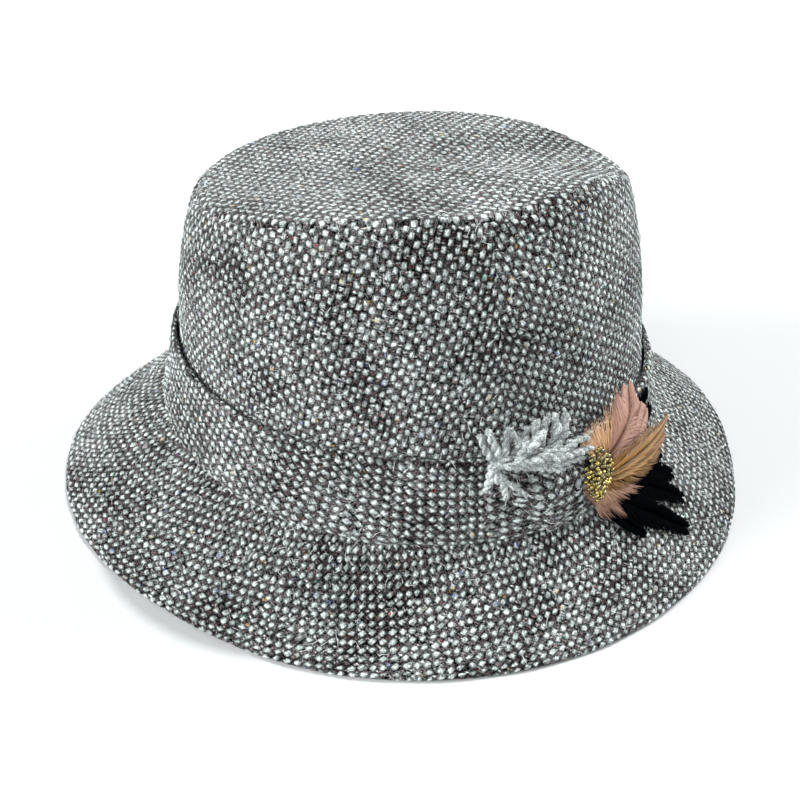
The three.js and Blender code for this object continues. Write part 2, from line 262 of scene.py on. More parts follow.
# Each point belongs to the nearest pale nub and the nearest dark one. A yarn on top runs on a
# little into the next squares along it, and no two nubs sit quite alike in their squares. For
# the pale and the dark yarn: where the other one is on top, the half of the square, the axis
# that the yarn runs along, the layer of its random draws and how far its nubs stray.
x_side = add(tweed, "Math", {0: x}, operation="SIGN")
y_side = add(tweed, "Math", {0: y}, operation="SIGN")
nub_places = []
for is_under, half, axis, layer, stray in (
        (is_dark, y_side, 1, 0.0, 0.12), (is_pale, x_side, 0, 7.0, 0.15)):
    step = add(tweed, "Math", {0: is_under, 1: half}, operation="MULTIPLY")
    step = add(tweed, "CombineXYZ", {axis: step})
    nub = add(tweed, "VectorMath", {0: square, 1: step}, operation="ADD")
    nub = add(tweed, "VectorMath", {0: nub, 1: (0.0, 0.0, layer)}, operation="ADD")
    chance = add(tweed, "TexWhiteNoise", {"Vector": nub}, "Value", noise_dimensions="3D")
    draw = add(tweed, "TexWhiteNoise", {"Vector": nub}, "Color", noise_dimensions="3D")
    shift = add(tweed, "VectorMath", {0: draw, 1: (2 * stray, 2 * stray, 0), 2: (-stray, -stray, 0)},
                operation="MULTIPLY_ADD")
    from_nub = add(tweed, "VectorMath", {0: place, 1: step}, operation="SUBTRACT")
    from_nub = add(tweed, "VectorMath", {0: from_nub, 1: shift}, operation="SUBTRACT")
    nub_places.append((chance, from_nub))
(pale_chance, pale_place), (dark_chance, dark_place) = nub_places

# Fibres: fine streaks along each yarn, and loose ones that wander over the weave.
streaks = []
for stretch in ((3.3, 1.0, 1.0), (1.1, 3.3, 1.0)):
    along_yarn = add(tweed, "VectorMath", {0: threads, 1: stretch}, operation="MULTIPLY")
    streaks.append(add(
        tweed, "TexNoise", {"Vector": along_yarn, "Scale": 1.0, "Detail": 3.0, "Roughness": 0.7},
        noise_dimensions="2D"))
pale_streaks, dark_streaks = streaks
ragged = add(tweed, "TexNoise", {"Vector": threads, "Scale": 2.6, "Detail": 3.0, "Roughness": 0.75},
             noise_dimensions="2D")
wander = add(tweed, "TexNoise", {"Vector": threads, "Scale": 1.7, "Detail": 1.0, "Distortion": 2.4},
             noise_dimensions="2D")
wander = add(tweed, "Math", {0: wander, 1: 0.5}, operation="SUBTRACT")
wander = add(tweed, "Math", {0: wander}, operation="ABSOLUTE")
loose = add(tweed, "MapRange", {0: wander, 1: 0.02, 2: 0.07, 3: 1.0, 4: 0.0})
speckle = add(tweed, "TexNoise", {"Vector": threads, "Scale": 3.2, "Detail": 2.0, "Roughness": 0.7},
              noise_dimensions="2D")
speckle = add(tweed, "MapRange", {0: speckle, 1: 0.4, 2: 0.62, 3: 0.1, 4: 2.0})
cloud = add(tweed, "TexNoise", {"Vector": threads, "Scale": 0.09, "Detail": 2.0}, noise_dimensions="2D")

# The nubs' outlines: ovals squared up by their neighbours, wider where the yarn is fuller, with
# ragged edges.
pale_half = add(tweed, "MapRange", {0: pale_chance, 3: 0.49, 4: 0.63})
pale_size = add(tweed, "CombineXYZ", {0: pale_half, 1: 0.67, 2: 1.0})
pale_reach = add(tweed, "VectorMath", {0: pale_place, 1: pale_size}, operation="DIVIDE")
pale_corner = add(tweed, "VectorMath", {0: pale_reach}, operation="ABSOLUTE")
pale_side, pale_end = (add(tweed, "SeparateXYZ", {0: pale_corner}, axis) for axis in "XY")
pale_corner = add(tweed, "Math", {0: pale_side, 1: pale_end}, operation="MAXIMUM")
pale_reach = add(tweed, "VectorMath", {0: pale_reach}, "Value", operation="LENGTH")
pale_reach = add(tweed, "Mix", {0: 0.6, 2: pale_reach, 3: pale_corner})
dark_reach = add(tweed, "VectorMath", {0: dark_place, 1: (0.64, 0.46, 1.0)}, operation="DIVIDE")
dark_reach = add(tweed, "VectorMath", {0: dark_reach}, "Value", operation="LENGTH")
frayed = add(tweed, "Math", {0: ragged, 1: 2.8, 2: -1.4}, operation="MULTIPLY_ADD")
pale_edge = add(tweed, "Math", {0: pale_reach, 1: frayed}, operation="ADD")
pale_mask = add(tweed, "MapRange", {0: pale_edge, 1: 0.6, 2: 0.98, 3: 1.0, 4: 0.0},
                interpolation_type="SMOOTHSTEP")
pale_dome, dark_dome = (
    add(tweed, "MapRange", {0: reach, 1: 0.0, 2: 1.2, 3: 1.0, 4: 0.0}, interpolation_type="SMOOTHSTEP")
    for reach in (pale_reach, dark_reach))

# Colours: most pale nubs are undyed fleece, some are greyer, and a few flecks are bright. The
# dark yarn runs from near black through a dull red to grey.
PALE_STOPS = [(0.0, "#4C5352"), (0.3, "#919C9A"), (0.65, "#B1BCBA"), (1.0, "#C4CDCB")]
DARK_STOPS = [
    (0.0, "#050406"), (0.2, "#110E10"), (0.36, "#2A2325"), (0.43, "#5C2225"),
    (0.52, "#5A2C2E"), (0.57, "#3C3536"), (0.8, "#6A706F"), (1.0, "#BCC4C2")]
FLECK_STOPS = [
    (0.0, "#8F2228"), (0.3, "#7A2A33"), (0.42, "#2F5FA8"), (0.55, "#7E93C4"),
    (0.66, "#B9A63A"), (0.8, "#B9803C"), (0.9, "#3F8F77"), (1.0, "#4F9A86")]
yarn_colours = []
for chance, streak, own_share, contrast, offset, stops in (
        (pale_chance, pale_streaks, 0.5, 3.2, 1.15, PALE_STOPS),
        (dark_chance, dark_streaks, 0.6, 3.0, 1.35, DARK_STOPS)):
    pick = add(tweed, "Math", {0: chance, 1: own_share}, operation="MULTIPLY")
    pick = add(tweed, "Math", {0: streak, 1: contrast, 2: pick}, operation="MULTIPLY_ADD")
    pick = add(tweed, "Math", {0: pick, 1: offset}, operation="SUBTRACT")
    yarn_colours.append(add(tweed, "ValToRGB", {0: pick}, stops=stops))
pale_colour, dark_colour = yarn_colours
colour = add(tweed, "Mix", {0: pale_mask, 6: dark_colour, 7: pale_colour}, 2, data_type="RGBA")
fleck_place = add(tweed, "VectorMath", {0: threads, 1: (1.3, 0.9, 1.0)}, operation="MULTIPLY")
fleck_reach, fleck_draw = (
    add(tweed, "TexVoronoi", {"Vector": fleck_place, "Scale": 1.0}, output, voronoi_dimensions="2D")
    for output in ("Distance", "Color"))
fleck_chance = add(tweed, "SeparateColor", {0: fleck_draw}, "Red")
fleck_kind = add(tweed, "SeparateColor", {0: fleck_draw}, "Green")
fleck_colour = add(tweed, "ValToRGB", {0: fleck_kind}, stops=FLECK_STOPS)
fleck = add(tweed, "MapRange", {0: fleck_chance, 1: 0.94, 2: 0.97, 3: 0.0, 4: 0.85})
fleck_size = add(tweed, "MapRange", {0: fleck_reach, 1: 0.22, 2: 0.4, 3: 1.0, 4: 0.0})
fleck = add(tweed, "Math", {0: fleck, 1: fleck_size}, operation="MULTIPLY")
colour = add(tweed, "Mix", {0: fleck, 6: colour, 7: fleck_colour}, 2, data_type="RGBA")

# Shade: painted shade darkens the hollows between the yarns, more so where the speckle is low,
# and a painted lift brightens the nubs' tops a little; loose fibres lie over both yarns in
# patches, and broad clouds shade the cloth.
dome = add(tweed, "Math", {0: pale_dome, 1: dark_dome}, operation="MAXIMUM")
# Painted shade: darkest where neither yarn's nub stands high, and a little over one on the nubs' tops.
painted_hollow_shade = add(tweed, "MapRange", {0: dome, 1: 0.16, 2: 0.78, 3: 0.0, 4: 1.1})
keep = add(tweed, "Math", {0: pale_mask, 1: 0.5}, operation="MULTIPLY")
speckle = add(tweed, "Mix", {0: keep, 2: speckle, 3: 1.0})
painted_hollow_shade = add(tweed, "Math", {0: painted_hollow_shade, 1: speckle}, operation="MULTIPLY")
colour = add(tweed, "Mix", {0: 1.0, 6: colour, 7: painted_hollow_shade}, 2, data_type="RGBA", blend_type="MULTIPLY")
loose_colour = add(tweed, "ValToRGB", {0: cloud}, stops=[
    (0.35, "#3A3638"), (0.5, "#A9B0AF"), (1.0, "#D5DBD9")])
patchy = add(tweed, "MapRange", {0: ragged, 1: 0.46, 2: 0.56, 3: 0.0, 4: 0.85})
loose = add(tweed, "Math", {0: loose, 1: patchy}, operation="MULTIPLY")
colour = add(tweed, "Mix", {0: loose, 6: colour, 7: loose_colour}, 2, data_type="RGBA")
shade = add(tweed, "MapRange", {0: cloud, 1: 0.3, 2: 0.7, 3: 0.74, 4: 0.98})
colour = add(tweed, "Mix", {0: 1.0, 6: colour, 7: shade}, 2, data_type="RGBA", blend_type="MULTIPLY")

relief = add(tweed, "Mix", {0: pale_mask, 2: dark_dome, 3: pale_dome})
relief = add(tweed, "Math", {0: pale_streaks, 1: 0.5, 2: relief}, operation="MULTIPLY_ADD")
relief = add(tweed, "Math", {0: loose, 1: 0.5, 2: relief}, operation="MULTIPLY_ADD")
normal = add(tweed, "Bump", {"Height": relief, "Distance": 0.8 * MM, "Strength": 1.0})
wool = add(tweed, "BsdfPrincipled", {
    "Base Color": colour, "Roughness": 0.95, "Normal": normal, "Specular IOR Level": 0.02,
    "Sheen Weight": 0.18, "Sheen Roughness": 0.2})
add(tweed, "OutputMaterial", {"Surface": wool})

# The relief that the meshes themselves carry, on top of which the material's bump is finer.
NUB_HEIGHT = 0.32
# The cloth on the brim: columns of nubs all round, the rows' pitch in mm at the edge and how
# fast it grows inwards, the columns' lean, the rows' winding, and how far the columns are pulled
# out of even spacing, and where.
BRIM_CELLS = 223
BRIM_ROW = 2.45
BRIM_ROW_GROWTH = 0.026
BRIM_LEAN = 0.09
BRIM_SPIRAL = 32
BRIM_STRETCH = 2.8
BRIM_STRETCH_TURN = 5


def brim_threads(degrees, distance):
    """Thread counts on the bias: columns stand closer in front and behind than at the sides, and
    rows, which wind slowly inwards from the edge, stand further apart towards the crown:
    log(1 + g d / s) / g for a distance d."""
    inner = np.log(1 + BRIM_ROW_GROWTH * np.maximum(distance, 0) / BRIM_ROW) / BRIM_ROW_GROWTH
    row = np.where(distance > 0, inner, distance / BRIM_ROW)
    stretch = BRIM_STRETCH * np.sin(np.radians(2 * (degrees + BRIM_STRETCH_TURN)))
    column = BRIM_CELLS * degrees / 360 + stretch + BRIM_LEAN * row
    row = row - BRIM_SPIRAL * degrees / 360
    return np.stack(np.broadcast_arrays(column - row, column + row), -1)


# The brim runs in under the band by a tenth of its width. From the rim's top its edge turns
# through these angles down to the flat that rests on the floor, and the under layer follows.
# The runs are the rows' distances past the rim, in mm along the cloth, and the cloth gives a
# little between the rim and the foot.
BRIM_TUCK = 0.1
EDGE_TURN = (68, -90)
UNDER_START = 0.88
UNDER_DROP = BRIM_THICKNESS * 1.2
EDGE_RUN = (0.6, 3.2)
FLAT_RUN, UNDER_RUN = 4.6, 5.0
BRIM_GIVE = 0.35
top_rows, edge_rows, under_rows, brim_columns = 68, 7, 13, 1060
degrees = np.linspace(0, 360, brim_columns + 1)[None, :]
reach = through(BRIM_REACH, degrees)
foot_radius, foot_height = oval(FOOT, degrees)
slant = np.hypot(foot_radius - reach, foot_height - RIM_TOP)
t = np.linspace(-BRIM_TUCK, 1, top_rows)[:, None]
top_radius, top_height = brim_top(degrees, t)
turn = np.radians(np.linspace(*EDGE_TURN, edge_rows))[:, None]
edge_half = RIM_TOP / 2
edge_radius = reach - edge_half + edge_half * np.cos(turn)
edge_height = edge_half + edge_half * np.sin(turn) + 0 * degrees
under_t = np.linspace(UNDER_START, -BRIM_TUCK, under_rows)[:, None]
under_radius, under_height = brim_top(degrees, under_t)
radius = np.concatenate([top_radius, edge_radius, reach - RIM_ROUNDING - RIM_FLAT, under_radius])
height = np.concatenate([top_height, edge_height, 0 * reach, under_height - UNDER_DROP])
# How far each row lies from the rim along the cloth, in mm: less than nought past the rim.
distance = np.concatenate([
    (1 - t) * slant, -np.linspace(*EDGE_RUN, edge_rows)[:, None] + 0 * degrees,
    -FLAT_RUN + 0 * degrees, -UNDER_RUN - (1 - under_t) * slant])
threads_brim = brim_threads(degrees, distance)
threads_brim = np.concatenate([threads_brim, threads_brim[:1]])
points = in_space(degrees[:, :-1], radius[:, :-1], height[:, :-1])
normals = outward_from(points, True, True)
relief_share = np.concatenate([np.ones(top_rows), np.linspace(1, 0.4, edge_rows), np.zeros(1 + under_rows)])
swell = NUB_HEIGHT * nubs(threads_brim[:-1, :-1]) * relief_share[:, None]
between = np.sin(np.pi * np.clip((height[:, :-1] - 3) / 22, 0, 1))
soft = BRIM_GIVE * unevenness(points, length=70, seed=5) * between
points = points + normals * swell[..., None]
points[..., 2] += soft
points[..., 2] = np.maximum(points[..., 2], 0)
brim_points, brim_normals = points[:top_rows], normals[:top_rows]
brim = sheet_mesh("brim_tweed", points, threads_brim, True, True)
brim.data.materials.append(tweed)
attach(brim, "root")
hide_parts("brim")

# Crown side
# The upright wall of the crown, two panels of tweed cut with the grain upright in the middle of
# each, seamed in front and behind.
CLOTH = 1.8
BAND_THICKNESS = 2.0
GAP = 0.3
WALL_SWELL = 2.6
WALL_HEIGHT = 66
WALL_GIVE = 0.7
# Over its last 3 mm the wall turns in to the seam, this far inwards and down.
SEAM_TURN = 3.0
SEAM_INSET = 2.6
SEAM_DROP = 1.7
BAND_TOP = {"half_width": 83.8, "half_length": 97.8, "height": 54.2, "front_drop": 1.0}
SEAM_REACH = [76.5, 75.5, 76.0, 75.0, 78.0, 81.5, 82.0, 78.5, 74.2, 72.2, 73.0, 74.5]
SEAM_HEIGHT = [122.5, 123.0, 113.5, 109.5, 109.0, 107.5, 105.5, 105.0, 105.5, 109.5, 115.5, 122.0]
# The seam in front stands at this angle, and each panel is cut from a cone of this radius and
# has its middle this far from the seam.
PANEL_SEAM = -3.5
PANEL_RADIUS = 88
PANEL_MIDDLE = 120.0
WEFT_PITCH = 2.02
# The panels to the wearer's right and left: how far the flat pattern fans out, the turn of its
# yarns in degrees, the pale yarns' pitch in mm along the panel's front end and up it, and how
# fast the first of the two widens.
PANELS = {
    "spread": (0.28, 0.33), "warp_turn": (-19.0, 24.0), "weft_turn": (-14.0, 22.0),
    "warp_pitch": (1.62, 1.71), "rise_pitch": (2.0, 1.71), "widening": (0.0097, 0.001)}


def wall(degrees, rise):
    """The wall's outside: rise is 0 at the band's foot, 1 at its top and 2 at the seam. It is
    straight behind the band and swells by sin(pi s^1.3) above it."""
    inset = BAND_THICKNESS + GAP
    foot_radius, foot_height = oval(FOOT, degrees)
    top_radius, top_height = oval(BAND_TOP, degrees)
    above = np.clip(rise - 1, 0, 1)
    low_radius = mix(foot_radius, top_radius, np.minimum(rise, 1)) - inset
    low_height = mix(foot_height, top_height, np.minimum(rise, 1))
    radius = mix(low_radius, through(SEAM_REACH, degrees), above)
    radius = radius + WALL_SWELL * np.sin(np.pi * above ** 1.3)
    return radius, mix(low_height, through(SEAM_HEIGHT, degrees), above)


def side_threads(degrees, rise):
    """Thread counts on a wall panel cut from flat cloth: the panel is part of a cone, whose
    flat pattern is an arc, and the straight grain crosses that arc at the panel's edge angle.
    The pitch widens evenly from the front seam to the panel's middle, log(1 + g x / s) / g for a
    distance x, and narrows again behind it."""
    from_seam = (degrees - PANEL_SEAM + 180) % 360 - 180
    on_right = from_seam < 0
    panel = {key: np.where(on_right, *values) for key, values in PANELS.items()}
    warp_turn, weft_turn = np.radians(panel["warp_turn"]), np.radians(panel["weft_turn"])
    pitch, widening = panel["warp_pitch"], panel["widening"]
    cone = PANEL_RADIUS / panel["spread"]
    turn = np.radians(from_seam) * panel["spread"]
    up = (rise - 1) * (through(SEAM_HEIGHT, degrees) - BAND_TOP["height"])
    x = (cone - up) * np.sin(turn)
    y = cone - (cone - up) * np.cos(turn)
    near = np.minimum(np.abs(x), 2 * PANEL_MIDDLE - np.abs(x))
    count, middle = (np.log(1 + widening * far / pitch) / widening for far in (near, PANEL_MIDDLE))
    across = np.sign(x) * np.where(np.abs(x) < PANEL_MIDDLE, count, 2 * middle - count)
    p = across * np.cos(warp_turn) + y * np.sin(warp_turn) / panel["rise_pitch"]
    q = (y * np.cos(weft_turn) - x * np.sin(weft_turn)) / WEFT_PITCH
    return np.stack([p, q + 0.4 * on_right], -1)


hidden = np.array([0.09, 0.4, 0.7, 0.88])
shown = np.linspace(0.95, 2, 98)
inside = np.array([1.97, 1.9, 1.8, 1.7, 1.6, 1.45, 1.3, 1.15, 1.0, 0.7, 0.4, 0.14])
side_columns = 800
degrees = PANEL_SEAM + np.linspace(0, 360, side_columns + 1)[None, :]
rise = np.concatenate([hidden, shown])[:, None]
radius, height = wall(degrees, rise)
from_top = (2 - rise) * WALL_HEIGHT
turned_in = np.clip(1 - from_top / SEAM_TURN, 0, 1)
puckers = 1 + 0.25 * np.sin(degrees * 0.9) * np.sin(degrees * 0.37 + 1)
radius = radius - SEAM_INSET * puckers * (1 - np.sqrt(1 - 0.98 * turned_in ** 2))
height = height - SEAM_DROP * turned_in ** 3
lip_radius = radius[-1:] - np.array([[0.6], [1.3]])
lip_height = height[-1:] - np.array([[0.5], [1.4]])
inside_radius, inside_height = wall(degrees, inside[:, None])
radius = np.concatenate([radius, lip_radius, inside_radius - CLOTH - 0.4 * (inside[:, None] > 1.9)])
height = np.concatenate([height, lip_height, inside_height - 0.5 * (inside[:, None] > 1.9)])
rises = np.concatenate([rise[:, 0], [2.01, 2.02], inside])[:, None]
inner_degrees = np.clip(degrees, PANEL_SEAM + 1e-6, PANEL_SEAM + 360 - 1e-6)
threads_side = side_threads(inner_degrees, rises)
threads_side = np.concatenate([threads_side, threads_side[:1]])
points = in_space(degrees[:, :-1], radius[:, :-1], height[:, :-1])
normals = outward_from(points, True, True)
first, last = len(hidden), len(hidden) + len(shown)
relief_share = np.zeros((len(points), 1))
relief_share[first:last, 0] = smooth(0, 0.06, shown - 0.95)
swell = NUB_HEIGHT * nubs(threads_side[:-1, :-1]) * relief_share
between = np.sin(np.pi * np.clip(rises - 1, 0, 1)) ** 0.7
soft = WALL_GIVE * unevenness(points, length=75, seed=11) * relief_share * between
points = points + normals * (swell + soft)[..., None]
side_points, side_normals = points[first:last], normals[first:last]
side = sheet_mesh("crown_side_tweed", points, threads_side, True, True)
side.data.materials.append(tweed)
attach(side, "root")
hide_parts("crown_side")

# Crown tip
# The oval top panel, one layer of tweed laid with its yarns askew to the hat, slightly domed,
# and seamed to the wall with the raw edges inside.
TIP_DOME = 2.0
TIP_LIFT = 0.55
TIP_GIVE = 0.6
TIP_CLOTH = 1.0
# Over its last 3.4 mm the tip turns down to the seam, this far.
TIP_TURN = 3.4
TIP_DROP = 2.5
TIP_WARP = {"pitch": 2.1, "turn": -10.0}
TIP_WEFT = {"pitch": 2.95, "turn": 79.0}
TIP_FIRST_THREAD = 200


def tip_threads(points):
    """Thread counts on flat cloth: distances along two fixed directions over the yarns' pitch.
    Here the pale yarn runs across the hat. The counts start far from the other pieces' counts,
    so that the same nubs don't come twice."""
    counts = []
    for yarn in (TIP_WEFT, TIP_WARP):
        turn = math.radians(yarn["turn"])
        distance = points[..., 0] * math.cos(turn) + points[..., 1] * math.sin(turn)
        counts.append(distance / yarn["pitch"] + TIP_FIRST_THREAD)
    return np.stack(counts, -1)


across = np.linspace(-1, 1, 192)
a, b = np.meshgrid(across, across, indexing="ij")
disc_x, disc_y = a * np.sqrt(1 - b * b / 2), b * np.sqrt(1 - a * a / 2)
share = np.minimum(np.hypot(disc_x, disc_y), 1)
degrees = np.degrees(np.arctan2(disc_x, -disc_y))
seam_radius = through(SEAM_REACH, degrees) - 0.6
seam_height = through(SEAM_HEIGHT, degrees)
from_edge = (1 - share) * seam_radius
turned_down = np.clip(1 - from_edge / TIP_TURN, 0, 1)
height = mix(np.mean(SEAM_HEIGHT), seam_height, share ** 1.2) + TIP_DOME * (1 - share ** 2) + TIP_LIFT
height = height - TIP_DROP * (1 - np.sqrt(1 - 0.98 * turned_down ** 2.2))
points = in_space(degrees, share * seam_radius, height)
threads_tip = tip_threads(points)
normals = outward_from(points, False, False)
fade = 1 - smooth(0.5, 1, turned_down)
soft = TIP_GIVE * unevenness(points, length=60, seed=23) * np.minimum(from_edge / 15, 1)
points = points + normals * (NUB_HEIGHT * nubs(threads_tip) * fade + soft)[..., None]
tip_points, tip_normals = points, normals
tip = sheet_mesh("crown_tip_tweed", points, threads_tip, False, False)
tip.data.materials.append(tweed)
layer = tip.modifiers.new("cloth", "SOLIDIFY")
layer.thickness = TIP_CLOTH * MM
layer.offset = -1
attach(tip, "root")
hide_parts("crown_tip")

# Hat band
# A strip of tweed cut on the bias, both edges folded under, laid round the foot of the crown.
# It is sewn down at its foot, and its top edge stands off the wall a little.
PINCH_ANGLE = -7.8
BAND_JOIN = 5.0
BAND_ROW = 2.9
BAND_WIDTH = 29
BAND_FLARE = 1.0
BAND_GIVE = 0.35
# The length in mm of one degree round the band.
BAND_DEGREE = 1.65


def band_threads(back, up):
    """Thread counts on the bias, back being the degrees from the strip's joined ends round to the
    wearer's right, each BAND_DEGREE mm long. From the pinch on, u degrees away, the columns
    spread, 0.4 a degree and 0.25 exp(-u / 14) more, and lean over, and the rows tilt by
    0.125 (1 - exp(-u / 15))."""
    u = np.maximum(back - (BAND_JOIN - PINCH_ANGLE), 0)
    lean = 0.1 * smooth(3, 45, u) * (1 - smooth(110, 190, u))
    column = -0.4 * back - 3.5 * (1 - np.exp(-u / 14)) - lean * (up - 14)
    tilted = np.minimum(u, 150)
    row = up / BAND_ROW - 0.125 * BAND_DEGREE * (tilted - 15 * (1 - np.exp(-tilted / 15))) / BAND_ROW
    return np.stack(np.broadcast_arrays(column + row, row - column), -1)


face_rows, fold_rows, band_columns = 44, 6, 900
degrees = np.linspace(0, 360, band_columns + 1)[None, :]
foot_radius, foot_height = oval(FOOT, degrees)
top_radius, top_height = oval(BAND_TOP, degrees)
foot_height = foot_height + 0.4
t = np.linspace(0, 1, face_rows)[:, None]
face_radius = mix(foot_radius, top_radius, t) + 0.45 * np.sin(np.pi * t) ** 0.5 - 0.5
face_radius = face_radius + BAND_FLARE * smooth(0.7, 1, t)
face_radius = face_radius + 0.5 * smooth(0, 0.1, t) - 0.7 * (1 - smooth(0, 0.1, t))
face_height = mix(foot_height, top_height - 0.7, t)
turn = np.linspace(0.15, 1, fold_rows)[:, None] * np.pi
fold_half = BAND_THICKNESS / 2
fold_radius = top_radius + BAND_FLARE - fold_half + fold_half * np.cos(turn)
fold_height = top_height - 0.7 + fold_half * np.sin(turn)
back_t = np.array([0.9, 0.5, 0.08])[:, None]
back_radius = mix(foot_radius, top_radius, back_t) - BAND_THICKNESS + BAND_FLARE * smooth(0.5, 1, back_t)
back_height = mix(foot_height, top_height, back_t)
radius = np.concatenate([foot_radius - 2.2, face_radius, fold_radius, back_radius])
height = np.concatenate([foot_height + 0.2, face_height, fold_height, back_height])
fold_up = BAND_WIDTH + np.linspace(0.3, 3.1, fold_rows)
up = np.concatenate([[-1.4], t[:, 0] * BAND_WIDTH, fold_up, BAND_WIDTH + np.array([6, 17, 28])])[:, None]
threads_band = band_threads((BAND_JOIN - degrees) % 360, up)
threads_band = np.concatenate([threads_band, threads_band[:1]])
points = in_space(degrees[:, :-1], radius[:, :-1], height[:, :-1])
normals = outward_from(points, True, True)
relief_share = np.concatenate([[0.3], np.ones(face_rows + 3), [0.7, 0.4, 0.2], np.zeros(3)])[:, None]
swell = NUB_HEIGHT * nubs(threads_band[:-1, :-1]) * relief_share
soft = BAND_GIVE * unevenness(points, length=45, seed=31) * relief_share
points = points + normals * (swell + np.maximum(soft, -0.1))[..., None]
band_points, band_normals = points[1:face_rows + 1], normals[1:face_rows + 1]
band = sheet_mesh("band_tweed", points, threads_band, True, True)
band.data.materials.append(tweed)
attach(band, "root")
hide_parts("hat_band")

# Band fold
# The loose end of the band, gathered tight at the pinch and bulging over the feather quills,
# which are tucked in under it and sewn down.
PINCH_CLIMB = 1.98
# The length in mm of one step of climb on the brim, the band and the wall.
CLIMB_HEIGHTS = [37.7, 28.6, 66.0]


def on_hat(degrees, climb, lift):
    """A point over the hat's outside. The climb is 0 at the rim, 1 at the band's foot, 2 at its
    top and 3 at the seam, and the lift is taken along a normal that turns from 58 degrees above
    the level on the brim to 11 on the wall."""
    degrees, climb, lift = np.broadcast_arrays(*(np.asarray(v, float) for v in (degrees, climb, lift)))
    rim = (through(BRIM_REACH, degrees) - RIM_ROUNDING, RIM_TOP + 0 * degrees)
    seam = (through(SEAM_REACH, degrees), through(SEAM_HEIGHT, degrees))
    levels = np.array([rim, oval(FOOT, degrees), oval(BAND_TOP, degrees), seam])
    low = np.clip(np.floor(climb), 0, 2)
    spot = sum(np.where(low == k, mix(levels[k], levels[k + 1], climb - k), 0) for k in range(3))
    lean = np.radians(mix(58, 11, smooth(0.6, 1.4, climb)))
    return in_space(degrees, spot[0] + lift * np.cos(lean), spot[1] + lift * np.sin(lean))


def off_hat(degrees, climb):
    """The direction away from the hat at an angle and a climb."""
    return on_hat(degrees, climb, 1.0) - on_hat(degrees, climb, 0.0)


fold_start, fold_end, fold_bulge, fold_creases = -6.0, 10.8, 4.2, 3
stations, across_rows = 60, 46
t = np.linspace(0, 1, stations)[None, :]
s = np.linspace(0, 1, across_rows)[:, None]
degrees = mix(fold_start, fold_end, t)
# The climb of the fold's two long edges, which part quickly from the pinch on, how full the fold
# is along its length, and the creases that run out of the pinch.
upper = mix(1.9, 1.66, np.sqrt(t))
lower = mix(1.82, 1.03, np.minimum(1, t * 1.8) ** 0.8)
puff = (0.25 + 0.75 * smooth(0, 0.5, t)) * (1 - 0.15 * t)
rounded_end = np.sqrt(np.clip((1 - t) / 0.12, 0, 1))
crease = 0.35 * (1 - smooth(0.05, 0.8, t)) * np.cos(2 * np.pi * fold_creases * s)
lift = GAP + 0.6 + (fold_bulge * puff + crease) * np.sin(np.pi * s) ** 0.6 * (0.35 + 0.65 * rounded_end)
climb = mix(lower, upper, s)
outer = on_hat(degrees, climb, lift)
inner_s = np.linspace(1, 0, 6)[:, None]
inner = on_hat(degrees, mix(lower, upper, inner_s), 2 * GAP)
points = np.concatenate([outer, inner])
inner_up = (mix(lower, upper, inner_s) - 1) * CLIMB_HEIGHTS[1] + 40
up = np.concatenate([(climb - 1) * CLIMB_HEIGHTS[1], inner_up])
tug = np.stack([unevenness(points, length=17, seed=seed) for seed in (41, 43)], -1)
threads_fold = band_threads(BAND_JOIN - degrees, up + 1.0) + 0.45 * tug
threads_fold = np.concatenate([threads_fold, threads_fold[:1]])
normals = outward_from(points, True, False)
relief_share = np.zeros(points.shape[:2])
relief_share[:across_rows] = 1
points = points + normals * (NUB_HEIGHT * nubs(threads_fold[:-1]) * relief_share)[..., None]
fold_points, fold_normals = points[:across_rows], normals[:across_rows]
fold = sheet_mesh("fold_tweed", points, threads_fold, True, False)
fold.data.materials.append(tweed)
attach(fold, "root")
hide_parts("band_fold")

# Yarn fringe
# Soft two-ply wool, pale as the tweed's nubs, frayed out of the band's end and knotted at the
# pinch. Each strand is two plies twisted together, and its end is brushed out into fibres.


def strands(paths, outs, half_widths, half_heights, sides):
    """Many closed strands at once. Each section is an ellipse of a few points, half_widths wide
    across the strand and half_heights thick along outs: path + w cos(k) across + h sin(k) out."""
    along = np.gradient(paths, axis=1)
    along /= np.linalg.norm(along, axis=-1, keepdims=True)
    sideways = np.cross(outs, along)
    sideways /= np.maximum(np.linalg.norm(sideways, axis=-1, keepdims=True), 1e-9)
    upright = np.cross(along, sideways)
    turn = np.linspace(0, 2 * np.pi, sides, endpoint=False)[:, None]
    wide = (half_widths[..., None, None] * np.cos(turn)) * sideways[:, :, None]
    high = (half_heights[..., None, None] * np.sin(turn)) * upright[:, :, None]
    return paths[:, :, None] + wide + high


